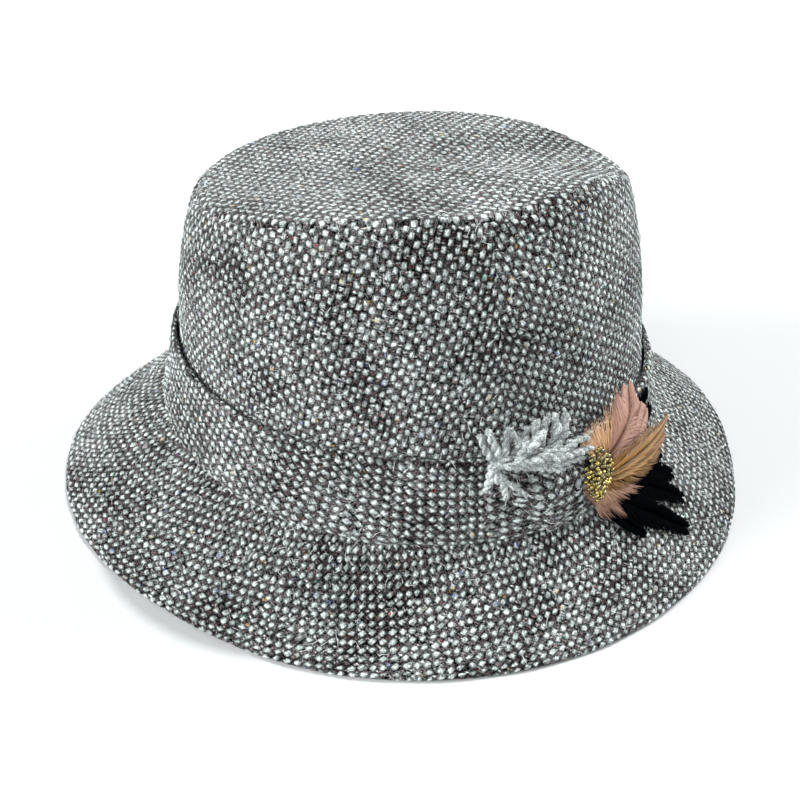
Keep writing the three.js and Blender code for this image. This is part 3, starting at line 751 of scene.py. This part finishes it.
def strand_mesh(name, groups, shades=None):
    """One mesh from several arrays of strands. Its UV map holds how far along the strand a point
    is and a random number for each strand, between the group's two shades."""
    points, faces, uvs = [], [], []
    first = 0
    for rings, (low, high) in zip(groups, shades or [(0.01, 0.99)] * len(groups)):
        count, stations, sides = rings.shape[:3]
        n, i, k = np.meshgrid(np.arange(count), np.arange(stations - 1), np.arange(sides), indexing="ij")
        corners = [(i, k), (i, (k + 1) % sides), (i + 1, (k + 1) % sides), (i + 1, k)]
        quads = np.stack([first + (n * stations + j) * sides + m for j, m in corners], -1).reshape(-1, 4)
        chance = random.uniform(low, high, count)
        share = [i / (stations - 1)] * 2 + [(i + 1) / (stations - 1)] * 2
        quad_uv = np.stack([np.stack([u, chance[n]], -1) for u in share], -2).reshape(-1, 2)
        starts = first + np.arange(count)[:, None] * stations * sides
        near = starts + np.arange(sides)[::-1]
        far = starts + (stations - 1) * sides + np.arange(sides)
        cap_uv = np.stack([np.repeat([0.0, 1.0], count * sides), np.tile(np.repeat(chance, sides), 2)], -1)
        faces += quads.tolist() + near.tolist() + far.tolist()
        uvs += [quad_uv, cap_uv]
        points.append(rings.reshape(-1, 3))
        first += count * stations * sides
    mesh = bpy.data.meshes.new(name)
    mesh.from_pydata((np.concatenate(points) * MM).tolist(), [], faces)
    layer = mesh.uv_layers.new(name="strand")
    layer.data.foreach_set("uv", np.concatenate(uvs).astype(np.float32).ravel())
    mesh.shade_smooth()
    piece = bpy.data.objects.new(name, mesh)
    bpy.context.scene.collection.objects.link(piece)
    return piece


def unit(vectors):
    """Vectors of length one."""
    return vectors / np.maximum(np.linalg.norm(vectors, axis=-1, keepdims=True), 1e-9)


def placed(spots):
    """Points over the hat from rows of angle, climb and lift, and the ways out from there."""
    degrees, climb, lift = np.moveaxis(spots, -1, 0)
    return on_hat(degrees, climb, lift), off_hat(degrees, climb)


def fuzz_from(roots, outs, count, length, height, half_width):
    """Loose fibres that rise from a surface and settle again: a straight run in a random
    direction, bowed sideways by t^2 and lifted by 4t(1 - t)^1.5."""
    pick = random.integers(0, len(roots), count)
    root, out = roots[pick], unit(outs[pick])
    heading = unit(np.cross(out, random.normal(size=(count, 3))))
    beside = np.cross(out, heading)
    t = np.linspace(0, 1, 5)[None, :, None]
    size = (length * random.uniform(0.4, 1.3, count))[:, None, None]
    bow = random.normal(0, 0.35, count)[:, None, None]
    rise = (height * random.uniform(0.2, 1.0, count) ** 1.5)[:, None, None]
    paths = root[:, None] + size * (t * heading[:, None] + bow * t * t * beside[:, None])
    paths = paths + rise * 4 * t * (1 - t) ** 1.5 * out[:, None] + 0.1 * out[:, None]
    widths = half_width * (1 - 0.6 * t[..., 0]) * np.ones((count, 1))
    return strands(paths, np.broadcast_to(out[:, None], paths.shape), widths, widths, 3)


# Undyed wool, brushed out: matt, with painted light on its fibres and painted shade in the darker gaps
# between them.
# The fibres are finer than a hair, and here they are drawn at 1.5 to the mm so that they show.
yarn = blank_material("frayed_wool_yarn")
place = add(yarn, "UVMap", {}, uv_map="strand")
chance = add(yarn, "SeparateXYZ", {0: place}, "Y")
spot = add(yarn, "TexCoord", {}, "Object")
fibres = add(yarn, "TexNoise", {"Vector": spot, "Scale": 1.5 / MM, "Detail": 3.0, "Distortion": 2.5})
patches = add(yarn, "TexNoise", {"Vector": spot, "Scale": 0.26 / MM, "Detail": 2.0})
# The ramp paints the fibres lighter, as lit, and the gaps between them darker, as shaded.
colour = add(yarn, "ValToRGB", {0: fibres}, stops=[(0.36, "#404847"), (0.5, "#929B99"), (0.64, "#DEE6E4")])
tone = add(yarn, "Math", {0: chance, 1: 0.6, 2: 0.42}, operation="MULTIPLY_ADD")
tone = add(yarn, "Math", {0: patches, 1: 0.4, 2: tone}, operation="MULTIPLY_ADD")
tone = add(yarn, "Math", {0: tone, 1: 0.15}, operation="SUBTRACT")
colour = add(yarn, "Mix", {0: 1.0, 6: colour, 7: tone}, 2, data_type="RGBA", blend_type="MULTIPLY")
normal = add(yarn, "Bump", {"Height": fibres, "Distance": 0.2 * MM, "Strength": 0.8})
wool = add(yarn, "BsdfPrincipled", {
    "Base Color": colour, "Roughness": 0.95, "Normal": normal, "Specular IOR Level": 0.2,
    "Sheen Weight": 0.3, "Sheen Roughness": 0.5})
add(yarn, "OutputMaterial", {"Surface": wool})

# A strand's two plies make one full twist in 5 mm. A ply's half width is 0.36 of the strand's
# width, and its middle swings out by 0.75 of that. The frays are the fibres at a strand's end.
# Each strand: where it leaves, where it ends, how far it bows out in the middle, its width, and
# the range of its shade. The short grey ends stand in a row along the band, and the pale ones
# cross them from the knot.
PLY_TWIST = 5.0
PLY_SHARE = 0.36
PLY_SWING = 0.75
PLY_SIDES = 9
FRAYS = 30
FRAY_STATIONS = 6
knot = (PINCH_ANGLE, PINCH_CLIMB, 2.6)
over = (-5.5, 1.96, 4.4)
GREY, PALE = (0.05, 0.45), (0.2, 0.75)
FRINGE = [
    ((-7.4, 2.0, 2.2), (-9.0, 2.12, 2.4), 0.3, 2.0, GREY),
    ((-6.4, 2.01, 2.3), (-7.2, 2.14, 2.6), 0.4, 2.1, PALE),
    ((-5.0, 2.02, 2.4), (-5.0, 2.13, 2.8), 0.5, 1.9, GREY),
    ((-3.4, 2.02, 2.5), (-2.9, 2.14, 2.9), 0.6, 2.1, GREY),
    ((-1.7, 2.02, 2.6), (-0.8, 2.13, 3.0), 0.6, 2.0, GREY),
    ((0.1, 2.03, 2.7), (1.3, 2.15, 3.1), 0.6, 2.2, GREY),
    ((2.0, 2.03, 2.8), (3.4, 2.15, 3.2), 0.6, 2.2, GREY),
    ((3.9, 2.03, 2.9), (5.4, 2.16, 3.3), 0.6, 2.3, PALE),
    ((5.7, 2.03, 3.0), (7.3, 2.14, 3.4), 0.6, 2.2, GREY),
    ((-7.6, 1.99, 2.3), (0.4, 2.03, 3.6), 0.6, 1.5, GREY),
    ((-2.0, 1.99, 3.4), (7.6, 2.06, 4.2), 0.6, 1.5, GREY),
    (knot, over, 0.2, 1.7, PALE),
    ((-3.0, 1.98, 3.8), (-1.0, 2.08, 4.6), 0.7, 2.2, PALE),
    ((-1.4, 2.04, 4.4), (2.0, 2.1, 4.8), 0.8, 2.3, PALE),
    (over, (5.4, 2.04, 5.2), 0.9, 1.7, PALE),
    (over, (10.4, 2.03, 6.1), 0.7, 2.1, PALE),
    ((-1.0, 1.98, 4.8), (11.6, 1.95, 6.4), 0.8, 2.2, PALE),
    (over, (9.8, 1.84, 5.6), 0.6, 1.8, PALE),
    ((-2.0, 1.93, 4.4), (5.0, 1.8, 5.2), 0.5, 1.7, PALE),
    (over, (1.6, 1.86, 4.9), 0.3, 1.5, PALE),
    (knot, (-8.4, 1.68, 2.6), 0.6, 2.1, PALE),
    (knot, (-4.6, 1.6, 4.0), 0.7, 2.1, PALE),
    (knot, (-2.6, 1.6, 4.4), 0.7, 2.0, PALE),
]
t = np.linspace(0, 1, 28)
fray_t = np.linspace(0, 1, FRAY_STATIONS)[None, :, None]
plies, frays, shades = [], [], []
for root, end, bow, width, shade in FRINGE:
    spots = mix(np.array(root), np.array(end), t[:, None])
    spots[:, 2] += bow * 4 * t * (1 - t)
    spots[:, 0] += 0.35 * np.sin(np.pi * 1.5 * t) * random.normal()
    middle, out = placed(spots)
    out = unit(out)
    ahead = unit(np.gradient(middle, axis=0))
    beside = unit(np.cross(out, ahead))
    length = np.linalg.norm(np.diff(middle, axis=0), axis=1).sum()
    twist = 2 * np.pi * length / PLY_TWIST * t + random.uniform(0, 6)
    middle = middle + 0.5 * np.stack([unevenness(middle, length=7, seed=seed) for seed in (51, 52, 53)], -1)
    for phase in (0, np.pi):
        slubs = unevenness(middle, length=4, seed=len(plies) + 60)
        ply = width * PLY_SHARE * (0.75 + 0.35 * np.sin(np.pi * t ** 0.7)) * (1 + 0.22 * slubs)
        swing = (np.cos(twist + phase)[:, None] * beside + np.sin(twist + phase)[:, None] * out) * PLY_SWING
        plies.append((middle + swing * ply[:, None], out, ply))
        shades.append(shade)
    aim = unit(ahead[-1] + random.normal(0, 0.4, (FRAYS, 3)))
    reach = random.uniform(0.3, 1.2, (FRAYS, 1, 1))
    curl = random.normal(0, 0.6, (FRAYS, 1, 3))
    start = middle[-1] - 1.2 * ahead[-1] + random.normal(0, 0.3, (FRAYS, 3)) * width / 2
    frays.append(start[:, None] + aim[:, None] * reach * fray_t + curl * fray_t ** 2)
paths, outs, widths = (np.array(values) for values in zip(*plies))
frays = np.concatenate(frays)
fray_outs = np.broadcast_to(np.array([0.0, -0.6, 0.8]), frays.shape)
fray_widths = np.linspace(0.22, 0.05, FRAY_STATIONS)[None] * np.ones((len(frays), 1))
ply_rings = strands(paths, outs, widths, widths, PLY_SIDES)
hairs = fuzz_from(
    ply_rings.reshape(-1, 3), np.repeat(outs.reshape(-1, 3), PLY_SIDES, axis=0),
    count=1900, length=1.5, height=0.8, half_width=0.06)
fray_rings = strands(frays, fray_outs, fray_widths, fray_widths, 4)
ply_groups = [ply_rings[k:k + 1] for k in range(len(ply_rings))]
fringe = strand_mesh("yarn_strands", ply_groups + [fray_rings, hairs], shades + [(0.1, 0.7), (0.1, 0.7)])
fringe.data.materials.append(yarn)
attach(fringe, "root")
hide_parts("yarn_fringe")

# Feathers
# Small hackle feathers, each a thin shaft with soft barbs on both sides. The black ones lie on
# the brim, the rose one stands against the crown, the gold one lies over both, and a tuft of
# down covers the ends of their shafts.
# The length in mm of one degree round the hat here, and how a barb's width changes along it.
DEGREE = 1.72
BARB_TAPER = np.array([0.8, 1.0, 1.0, 0.9, 0.6, 0.12])
DOWN_TAPER = np.array([0.7, 1.0, 1.0, 0.9, 0.7, 0.45, 0.1])
QUILL_STATIONS = 14


def curve(start, bend, goal, t):
    """A quadratic curve: (1 - t)^2 start + 2t(1 - t) bend + t^2 goal."""
    return (1 - t) ** 2 * start + 2 * t * (1 - t) * bend + t * t * goal


def plume(root, middle, tip, half_width, barbs, spread, barb_width, looseness, bluntness):
    """One feather: the shaft is a quadratic curve through three places given by angle, climb and
    lift, where a degree is DEGREE mm. Barbs leave it on both sides all the way up, lean forward,
    and end s of the way up on an outline that is half_width mm wide at its widest:
    half_width sin(pi (s / 1.08)^0.8)^p, blunt for a small p. Where the web is torn the barbs keep
    together in locks, and the looseness in mm lets each one stand off."""
    root, middle, tip = (np.array(spot, float) for spot in (root, middle, tip))
    control = 2 * middle - (root + tip) / 2
    def shaft(s):
        return curve(root, control, tip, s[..., None])
    count = barbs * 2
    s = np.tile(np.linspace(0, 0.97, barbs), 2) + random.normal(0, 0.006, count)
    s = np.clip(s, 0, 0.99)
    side = np.repeat([-1.0, 1.0], barbs)
    ahead = np.minimum(s + mix(0.34, 0.1, s) * random.uniform(0.8, 1.2, count), 1.06)
    tear = 0.5 + 0.5 * np.sin(s * 31 + side * 4 + half_width)
    locks = 1 - spread * tear * (0.5 + 0.5 * np.sin(s * 13 + side))
    width = half_width * np.sin(np.pi * (ahead / 1.08) ** 0.8) ** bluntness * locks
    width = width * random.uniform(1 - spread / 3, 1 + spread / 3, count)
    start, goal = shaft(s), shaft(ahead)
    heading = shaft(ahead + 0.01) - goal
    climb_mm = np.array(CLIMB_HEIGHTS)[np.clip(goal[:, 1], 0, 2).astype(int)]
    run, up = heading[:, 0] * DEGREE, heading[:, 1] * climb_mm
    size = np.hypot(run, up)
    goal[:, 0] += side * width * up / size / DEGREE
    goal[:, 1] -= side * width * run / size / climb_mm
    goal[:, 2] += random.normal(0.05, looseness, count)
    bend = mix(start, goal, 0.5) + (shaft(np.minimum(s + 0.12, 1)) - start) * 0.6
    t = np.linspace(0, 1, len(BARB_TAPER))[None, :, None]
    spots = curve(start[:, None], bend[:, None], goal[:, None], t)
    spots[..., 2] += 0.35 * np.sin(np.pi * t[..., 0]) + random.uniform(0, looseness, (count, 1))
    paths, outs = placed(spots)
    widths = barb_width * BARB_TAPER[None] * random.uniform(0.7, 1.2, (count, 1))
    vane = strands(paths, outs, widths, np.minimum(widths, 0.07), 4)
    line = shaft(np.linspace(0, 1, QUILL_STATIONS))[None]
    line[..., 2] += 0.5
    quill, quill_outs = placed(line)
    thin = np.linspace(0.26, 0.1, QUILL_STATIONS)[None]
    return [vane, strands(quill, quill_outs, thin, thin, 5)]


def fan(root, last_root, tips, barbs, scatter, barb_width):
    """Loose downy barbs. They leave a line from one root to another and end along a broken line
    of tips, each on a quadratic curve, bent at random and lifted off the hat in its middle."""
    root, last_root, tips = (np.array(spot, float) for spot in (root, last_root, tips))
    place = np.linspace(0, 1, barbs) + random.normal(0, 0.01, barbs)
    place = np.clip(place, 0, 0.999)
    reach = place * (len(tips) - 1)
    k = reach.astype(int)
    goal = mix(tips[k], tips[k + 1], (reach - k)[:, None])
    start = mix(root, last_root, place[:, None]) + random.normal(0, 1, (barbs, 3)) * [0.3, 0.015, 0.12]
    goal = start + (goal - start) * random.uniform(1 - scatter, 1.06, (barbs, 1))
    bend = mix(start, goal, 0.5) + random.normal(0, 1, (barbs, 3)) * [0.35, 0.02, 0.12] + [0, 0, 0.5]
    t = np.linspace(0, 1, len(DOWN_TAPER))[None, :, None]
    paths, outs = placed(curve(start[:, None], bend[:, None], goal[:, None], t))
    widths = barb_width * DOWN_TAPER[None] * random.uniform(0.7, 1.2, (barbs, 1))
    return [strands(paths, outs, widths, np.minimum(widths, 0.08), 4)]


def feather_material(name, web_stops, down_stops, gloss, shade, shine):
    """Keratin barbs dyed through, with a soft silky gloss: a colour that changes from the shaft
    to the barb's end, and a lightness of its own for each barb. Down has shades over one, and
    shafts have shades under nought."""
    material = blank_material(name)
    place = add(material, "UVMap", {}, uv_map="strand")
    share = add(material, "SeparateXYZ", {0: place}, "X")
    chance = add(material, "SeparateXYZ", {0: place}, "Y")
    web = add(material, "ValToRGB", {0: share}, stops=web_stops)
    down = add(material, "ValToRGB", {0: share}, stops=down_stops)
    is_down = add(material, "Math", {0: chance, 1: 1.0}, operation="GREATER_THAN")
    is_shaft = add(material, "Math", {0: chance, 1: 0.0}, operation="LESS_THAN")
    colour = add(material, "Mix", {0: is_down, 6: web, 7: down}, 2, data_type="RGBA")
    chance = add(material, "Math", {0: chance}, operation="FRACT")
    spot = add(material, "TexCoord", {}, "Object")
    barbules = add(material, "TexNoise", {"Vector": spot, "Scale": 1.5 / MM, "Detail": 2.0})
    tone = add(material, "Math", {0: chance, 1: shade, 2: 0.9 - shade}, operation="MULTIPLY_ADD")
    tone = add(material, "Math", {0: barbules, 1: 0.3, 2: tone}, operation="MULTIPLY_ADD")
    shadow = add(material, "Math", {0: is_shaft, 1: -0.4, 2: 1.0}, operation="MULTIPLY_ADD")
    tone = add(material, "Math", {0: tone, 1: shadow}, operation="MULTIPLY")
    colour = add(material, "Mix", {0: 1.0, 6: colour, 7: tone}, 2, data_type="RGBA", blend_type="MULTIPLY")
    normal = add(material, "Bump", {"Height": barbules, "Distance": 0.06 * MM, "Strength": 0.6})
    barb = add(material, "BsdfPrincipled", {
        "Base Color": colour, "Roughness": gloss, "Normal": normal, "Specular IOR Level": shine})
    add(material, "OutputMaterial", {"Surface": barb})
    return material


# Each feather: root, middle and tip by angle, climb and lift, half width in mm, barbs a side,
# how torn its web is, the barbs' half width and their looseness in mm, and its bluntness.
BLACK = [
    ((14.0, 1.55, 1.4), (29.0, 1.66, 1.5), (38.0, 1.62, 1.6), 5.0, 45, 0.06, 0.5, 0.1, 0.45),
    ((14.0, 1.55, 1.4), (30.0, 1.8, 1.4), (37.0, 1.88, 1.6), 3.5, 45, 0.06, 0.5, 0.1, 0.45),
    ((14.0, 1.5, 1.6), (28.0, 1.3, 1.7), (40.4, 1.02, 1.8), 7.0, 80, 0.02, 0.7, 0.04, 0.4),
    ((14.0, 1.5, 1.6), (27.0, 1.18, 1.7), (37.0, 0.78, 1.8), 6.5, 80, 0.02, 0.7, 0.04, 0.4),
    ((14.0, 1.48, 1.8), (26.0, 1.05, 2.0), (34.0, 0.58, 1.9), 6.0, 80, 0.02, 0.7, 0.04, 0.4),
    ((13.6, 1.46, 2.0), (22.6, 0.86, 2.2), (29.2, 0.38, 2.0), 5.5, 80, 0.02, 0.7, 0.04, 0.35),
    ((13.4, 1.44, 1.8), (17.5, 0.92, 2.0), (20.4, 0.6, 1.9), 3.2, 60, 0.02, 0.65, 0.04, 0.4),
    ((13.4, 1.44, 1.9), (20.5, 0.9, 2.0), (25.0, 0.57, 2.0), 4.5, 60, 0.02, 0.65, 0.04, 0.4),
]
ROSE = [
    ((14.4, 1.56, 3.2), (26.0, 1.7, 3.7), (31.8, 1.82, 3.5), 7.0, 150, 0.02, 0.62, 0.04, 0.4),
    ((14.4, 1.58, 3.4), (24.6, 1.82, 3.9), (29.0, 1.97, 3.6), 7.0, 150, 0.02, 0.62, 0.04, 0.4),
    ((14.4, 1.6, 3.6), (21.8, 1.87, 4.2), (24.8, 2.11, 3.8), 7.5, 160, 0.02, 0.62, 0.04, 0.35),
]
GOLD = [
    ((13.2, 1.5, 5.6), (26.0, 1.5, 6.3), (41.4, 1.42, 5.8), 3.4, 120, 0.1, 0.45, 0.08, 0.7),
    ((13.2, 1.46, 5.4), (25.0, 1.38, 6.0), (38.0, 1.26, 5.5), 3.0, 110, 0.15, 0.4, 0.1, 0.7),
]
# Down and frayed edges: the first and last root, the places where the tips end, the barbs, how
# unequal they are, and their half width in mm.
ROSE_DOWN = [
    ((14.6, 1.64, 3.8), (15.6, 1.72, 4.0),
     [(9.4, 1.98, 4.2), (10.8, 2.03, 4.3), (13.0, 2.05, 4.4), (15.6, 2.06, 4.4)], 140, 0.22, 0.26),
    ((15.4, 1.7, 4.2), (17.4, 1.84, 4.2),
     [(15.0, 2.06, 4.4), (17.2, 2.1, 4.2), (21.2, 2.15, 4.0)], 26, 0.15, 0.2),
]
GOLD_EDGE = [
    ((13.4, 1.46, 5.6), (30.0, 1.46, 6.0),
     [(14.6, 1.3, 5.2), (21.0, 1.12, 5.0), (27.0, 1.04, 5.0), (34.0, 0.98, 5.0), (37.4, 1.08, 5.2),
      (39.6, 1.26, 5.4), (41.8, 1.42, 5.6)], 110, 0.12, 0.22),
    ((13.4, 1.52, 5.6), (30.0, 1.52, 6.0),
     [(17.6, 1.68, 5.2), (25.0, 1.68, 5.2), (32.6, 1.63, 5.2), (41.6, 1.43, 5.6)], 90, 0.12, 0.22),
]
TUFT_DOWN = [
    ((12.0, 1.46, 4.6), (14.6, 1.42, 4.8),
     [(9.4, 1.46, 4.4), (10.4, 1.3, 4.6), (12.6, 1.14, 4.6), (13.6, 0.94, 4.6), (15.0, 0.9, 4.4),
      (18.6, 0.82, 4.2), (18.6, 0.98, 4.4), (22.4, 0.96, 4.2), (26.6, 0.93, 4.0), (23.0, 1.14, 4.4)],
     260, 0.22, 0.24),
    ((12.4, 1.44, 4.8), (14.0, 1.42, 5.0),
     [(10.6, 1.32, 4.8), (13.4, 1.06, 4.9), (17.0, 0.98, 4.7), (21.0, 1.04, 4.6)], 120, 0.3, 0.24),
]
# The kinds: the mesh, the node it stands for, its slot, its webs and its down, its roughness, how
# much its barbs differ in tone, its specular level, and the colours of its web and its down.
FEATHERS = [
    ("black_plumes", "black_feathers", "black_feather", BLACK, [], 0.8, 0.3, 0.003,
     [(0.0, "#000102"), (0.7, "#010203"), (1.0, "#020405")], [(0.0, "#000102"), (1.0, "#020405")]),
    ("rose_plumes", "rose_feather", "rose_feather", ROSE, ROSE_DOWN, 0.55, 0.22, 0.25,
     [(0.0, "#6A4633"), (0.3, "#785546"), (0.8, "#805E51"), (1.0, "#715043")],
     [(0.0, "#86603C"), (0.5, "#B0885F"), (1.0, "#C09A78")]),
    ("gold_plumes", "gold_feather", "gold_feather", GOLD, GOLD_EDGE, 0.5, 0.36, 0.3,
     [(0.0, "#764E00"), (0.45, "#7A5200"), (0.75, "#704A10"), (1.0, "#5A3E24")],
     [(0.0, "#7A5200"), (0.5, "#704A04"), (1.0, "#5E3F1C")]),
    ("tuft_plumes", "feather_tuft", "tuft_feather", [], TUFT_DOWN, 0.6, 0.4, 0.2,
     [(0.0, "#9A7650"), (0.45, "#9A785E"), (1.0, "#8C6C5C")],
     [(0.0, "#9A7650"), (0.45, "#9A785E"), (1.0, "#8C6C5C")]),
]
for name, node, slot, webs, downs, gloss, shade, shine, web_stops, down_stops in FEATHERS:
    web_groups = [group for row in webs for group in plume(*row)]
    down_groups = [group for row in downs for group in fan(*row)]
    shades = [(0.01, 0.99), (-0.99, -0.01)] * len(webs) + [(1.01, 1.99)] * len(downs)
    feather = strand_mesh(name, web_groups + down_groups, shades)
    keratin = feather_material(slot + "_keratin", web_stops, down_stops, gloss, shade, shine)
    feather.data.materials.append(keratin)
    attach(feather, "root")
    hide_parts(node)

# Bead cluster
# Small gold-lined glass beads sewn close together over the quills, as an oval pad on the tuft.
# Each is a short string of rings along its own axis, sqrt(1 - s^2) wide at s of its radius.
BEAD_ANGLE, BEAD_CLIMB, BEAD_LIFT = 11.8, 1.61, 7.8
PAD_HALF_WIDTH, PAD_HALF_HEIGHT = 5.6, 8.9
BEAD_RADIUS = 0.74
BEAD_COUNT = 90
# Glass over a gold lining gives metal-like glints, some nearly white, and dark sides.
beads_material = blank_material("gold_glass_beads")
place = add(beads_material, "UVMap", {}, uv_map="strand")
chance = add(beads_material, "SeparateXYZ", {0: place}, "Y")
colour = add(beads_material, "ValToRGB", {0: chance}, stops=[
    (0.0, "#3A300A"), (0.4, "#5E5214"), (0.8, "#8A7820"), (1.0, "#C8B048")])
spot = add(beads_material, "TexCoord", {}, "Object")
grain = add(beads_material, "TexNoise", {"Vector": spot, "Scale": 0.9 / MM, "Detail": 1.0})
grain = add(beads_material, "MapRange", {0: grain, 1: 0.3, 2: 0.7, 3: 0.12, 4: 0.25})
glass = add(beads_material, "BsdfPrincipled", {
    "Base Color": colour, "Metallic": 0.9, "Roughness": grain, "Coat Weight": 1.0, "Coat Roughness": 0.1})
add(beads_material, "OutputMaterial", {"Surface": glass})
number = np.arange(BEAD_COUNT)
far = np.sqrt((number + 0.5) / BEAD_COUNT)
around = number * np.pi * (3 - math.sqrt(5))
right = far * np.cos(around) * PAD_HALF_WIDTH + random.normal(0, 0.2, BEAD_COUNT)
up = far * np.sin(around) * PAD_HALF_HEIGHT + random.normal(0, 0.2, BEAD_COUNT)
right = right * mix(0.72, 1.0, smooth(-8, 2, up))
bead_degrees = BEAD_ANGLE + right / DEGREE
bead_climb = BEAD_CLIMB + up / CLIMB_HEIGHTS[1]
bead_lift = BEAD_LIFT + 1.0 * (1 - far ** 2) + random.uniform(-0.5, 0.4, BEAD_COUNT)
centres = on_hat(bead_degrees, bead_climb, bead_lift)
axes = unit(off_hat(bead_degrees, bead_climb) + random.normal(0, 0.5, (BEAD_COUNT, 3)))
s = np.linspace(-0.93, 0.93, 6)
paths = centres[:, None] + axes[:, None] * s[None, :, None] * BEAD_RADIUS
widths = np.sqrt(1 - s * s)[None] * BEAD_RADIUS * np.ones((BEAD_COUNT, 1))
side_on = unit(np.cross(axes, random.normal(size=(BEAD_COUNT, 3))))
rings = strands(paths, np.broadcast_to(side_on[:, None], paths.shape), widths, widths, 10)
beads = strand_mesh("beads", [rings])
beads.data.materials.append(beads_material)
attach(beads, "root")
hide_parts("bead_cluster")

# Loose fibres
# Wool fuzz that stands off the tweed all over, a few millimetres long. Real fibres are finer
# than a hair, and these are drawn coarser, so that they show.
hair = blank_material("loose_wool_fibres")
place = add(hair, "UVMap", {}, uv_map="strand")
chance = add(hair, "SeparateXYZ", {0: place}, "Y")
colour = add(hair, "ValToRGB", {0: chance}, stops=[
    (0.0, "#2A2829"), (0.3, "#57504F"), (0.45, "#A9AFAE"), (1.0, "#D9DFDD")])
wool = add(hair, "BsdfPrincipled", {
    "Base Color": colour, "Roughness": 0.9, "Specular IOR Level": 0.2,
    "Sheen Weight": 0.2, "Sheen Roughness": 0.5})
add(hair, "OutputMaterial", {"Surface": wool})
# Each cloth surface and the number of fibres on it.
surfaces = [
    (brim_points, brim_normals, 1300), (side_points, side_normals, 1300), (tip_points, tip_normals, 550),
    (band_points, band_normals, 550), (fold_points, fold_normals, 100)]
tufts = [
    fuzz_from(p.reshape(-1, 3), n.reshape(-1, 3), count, length=3.0, height=0.8, half_width=0.095)
    for p, n, count in surfaces]
fuzz = strand_mesh("loose_fibres", tufts)
fuzz.data.materials.append(hair)
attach(fuzz, "root")

# Floor and light
# A white table in a bright room: a small lamp high up behind on the right, three broad ones in
# front and on both sides, and a pale sky all round.
floor_half = 4.0
floor_height = cad_box[0][2]
floor_mesh = bpy.data.meshes.new("floor")
floor_corners = [
    (x * floor_half, y * floor_half, floor_height) for x, y in ((-1, -1), (1, -1), (1, 1), (-1, 1))]
floor_mesh.from_pydata(floor_corners, [], [(0, 1, 2, 3)])
floor = bpy.data.objects.new("floor", floor_mesh)
bpy.context.scene.collection.objects.link(floor)
paper = blank_material("white_paper")
sheet = add(paper, "BsdfPrincipled", {
    "Base Color": linear("#A5A6A7"), "Roughness": 0.9, "Specular IOR Level": 0.0})
add(paper, "OutputMaterial", {"Surface": sheet})
floor_mesh.materials.append(paper)

world = bpy.data.worlds.new("studio")
world.use_nodes = True
sky = world.node_tree.nodes["Background"]
sky.inputs["Color"].default_value = linear("#F6FAFB")
sky.inputs["Strength"].default_value = 0.7
bpy.context.scene.world = world
# Each lamp: its place and its side in metres, and its power in watts.
LAMPS = [
    ("key_lamp", (2.0, 0.9, 4.4), 0.15, 270),
    ("front_lamp", (-1.8, -4.5, 2.2), 4.0, 190),
    ("left_lamp", (-4.8, 0.3, 1.7), 3.2, 660),
    ("right_lamp", (4.5, 0.0, 1.6), 2.8, 390),
]
for name, spot, size, power in LAMPS:
    lamp_data = bpy.data.lights.new(name, "AREA")
    lamp_data.size = size
    lamp_data.energy = power
    lamp = bpy.data.objects.new(name, lamp_data)
    lamp.location = spot
    lamp.rotation_euler = (Vector((0, 0, 0.05)) - Vector(spot)).to_track_quat("-Z", "Y").to_euler()
    bpy.context.scene.collection.objects.link(lamp)
bpy.context.scene.view_settings.view_transform = "Standard"
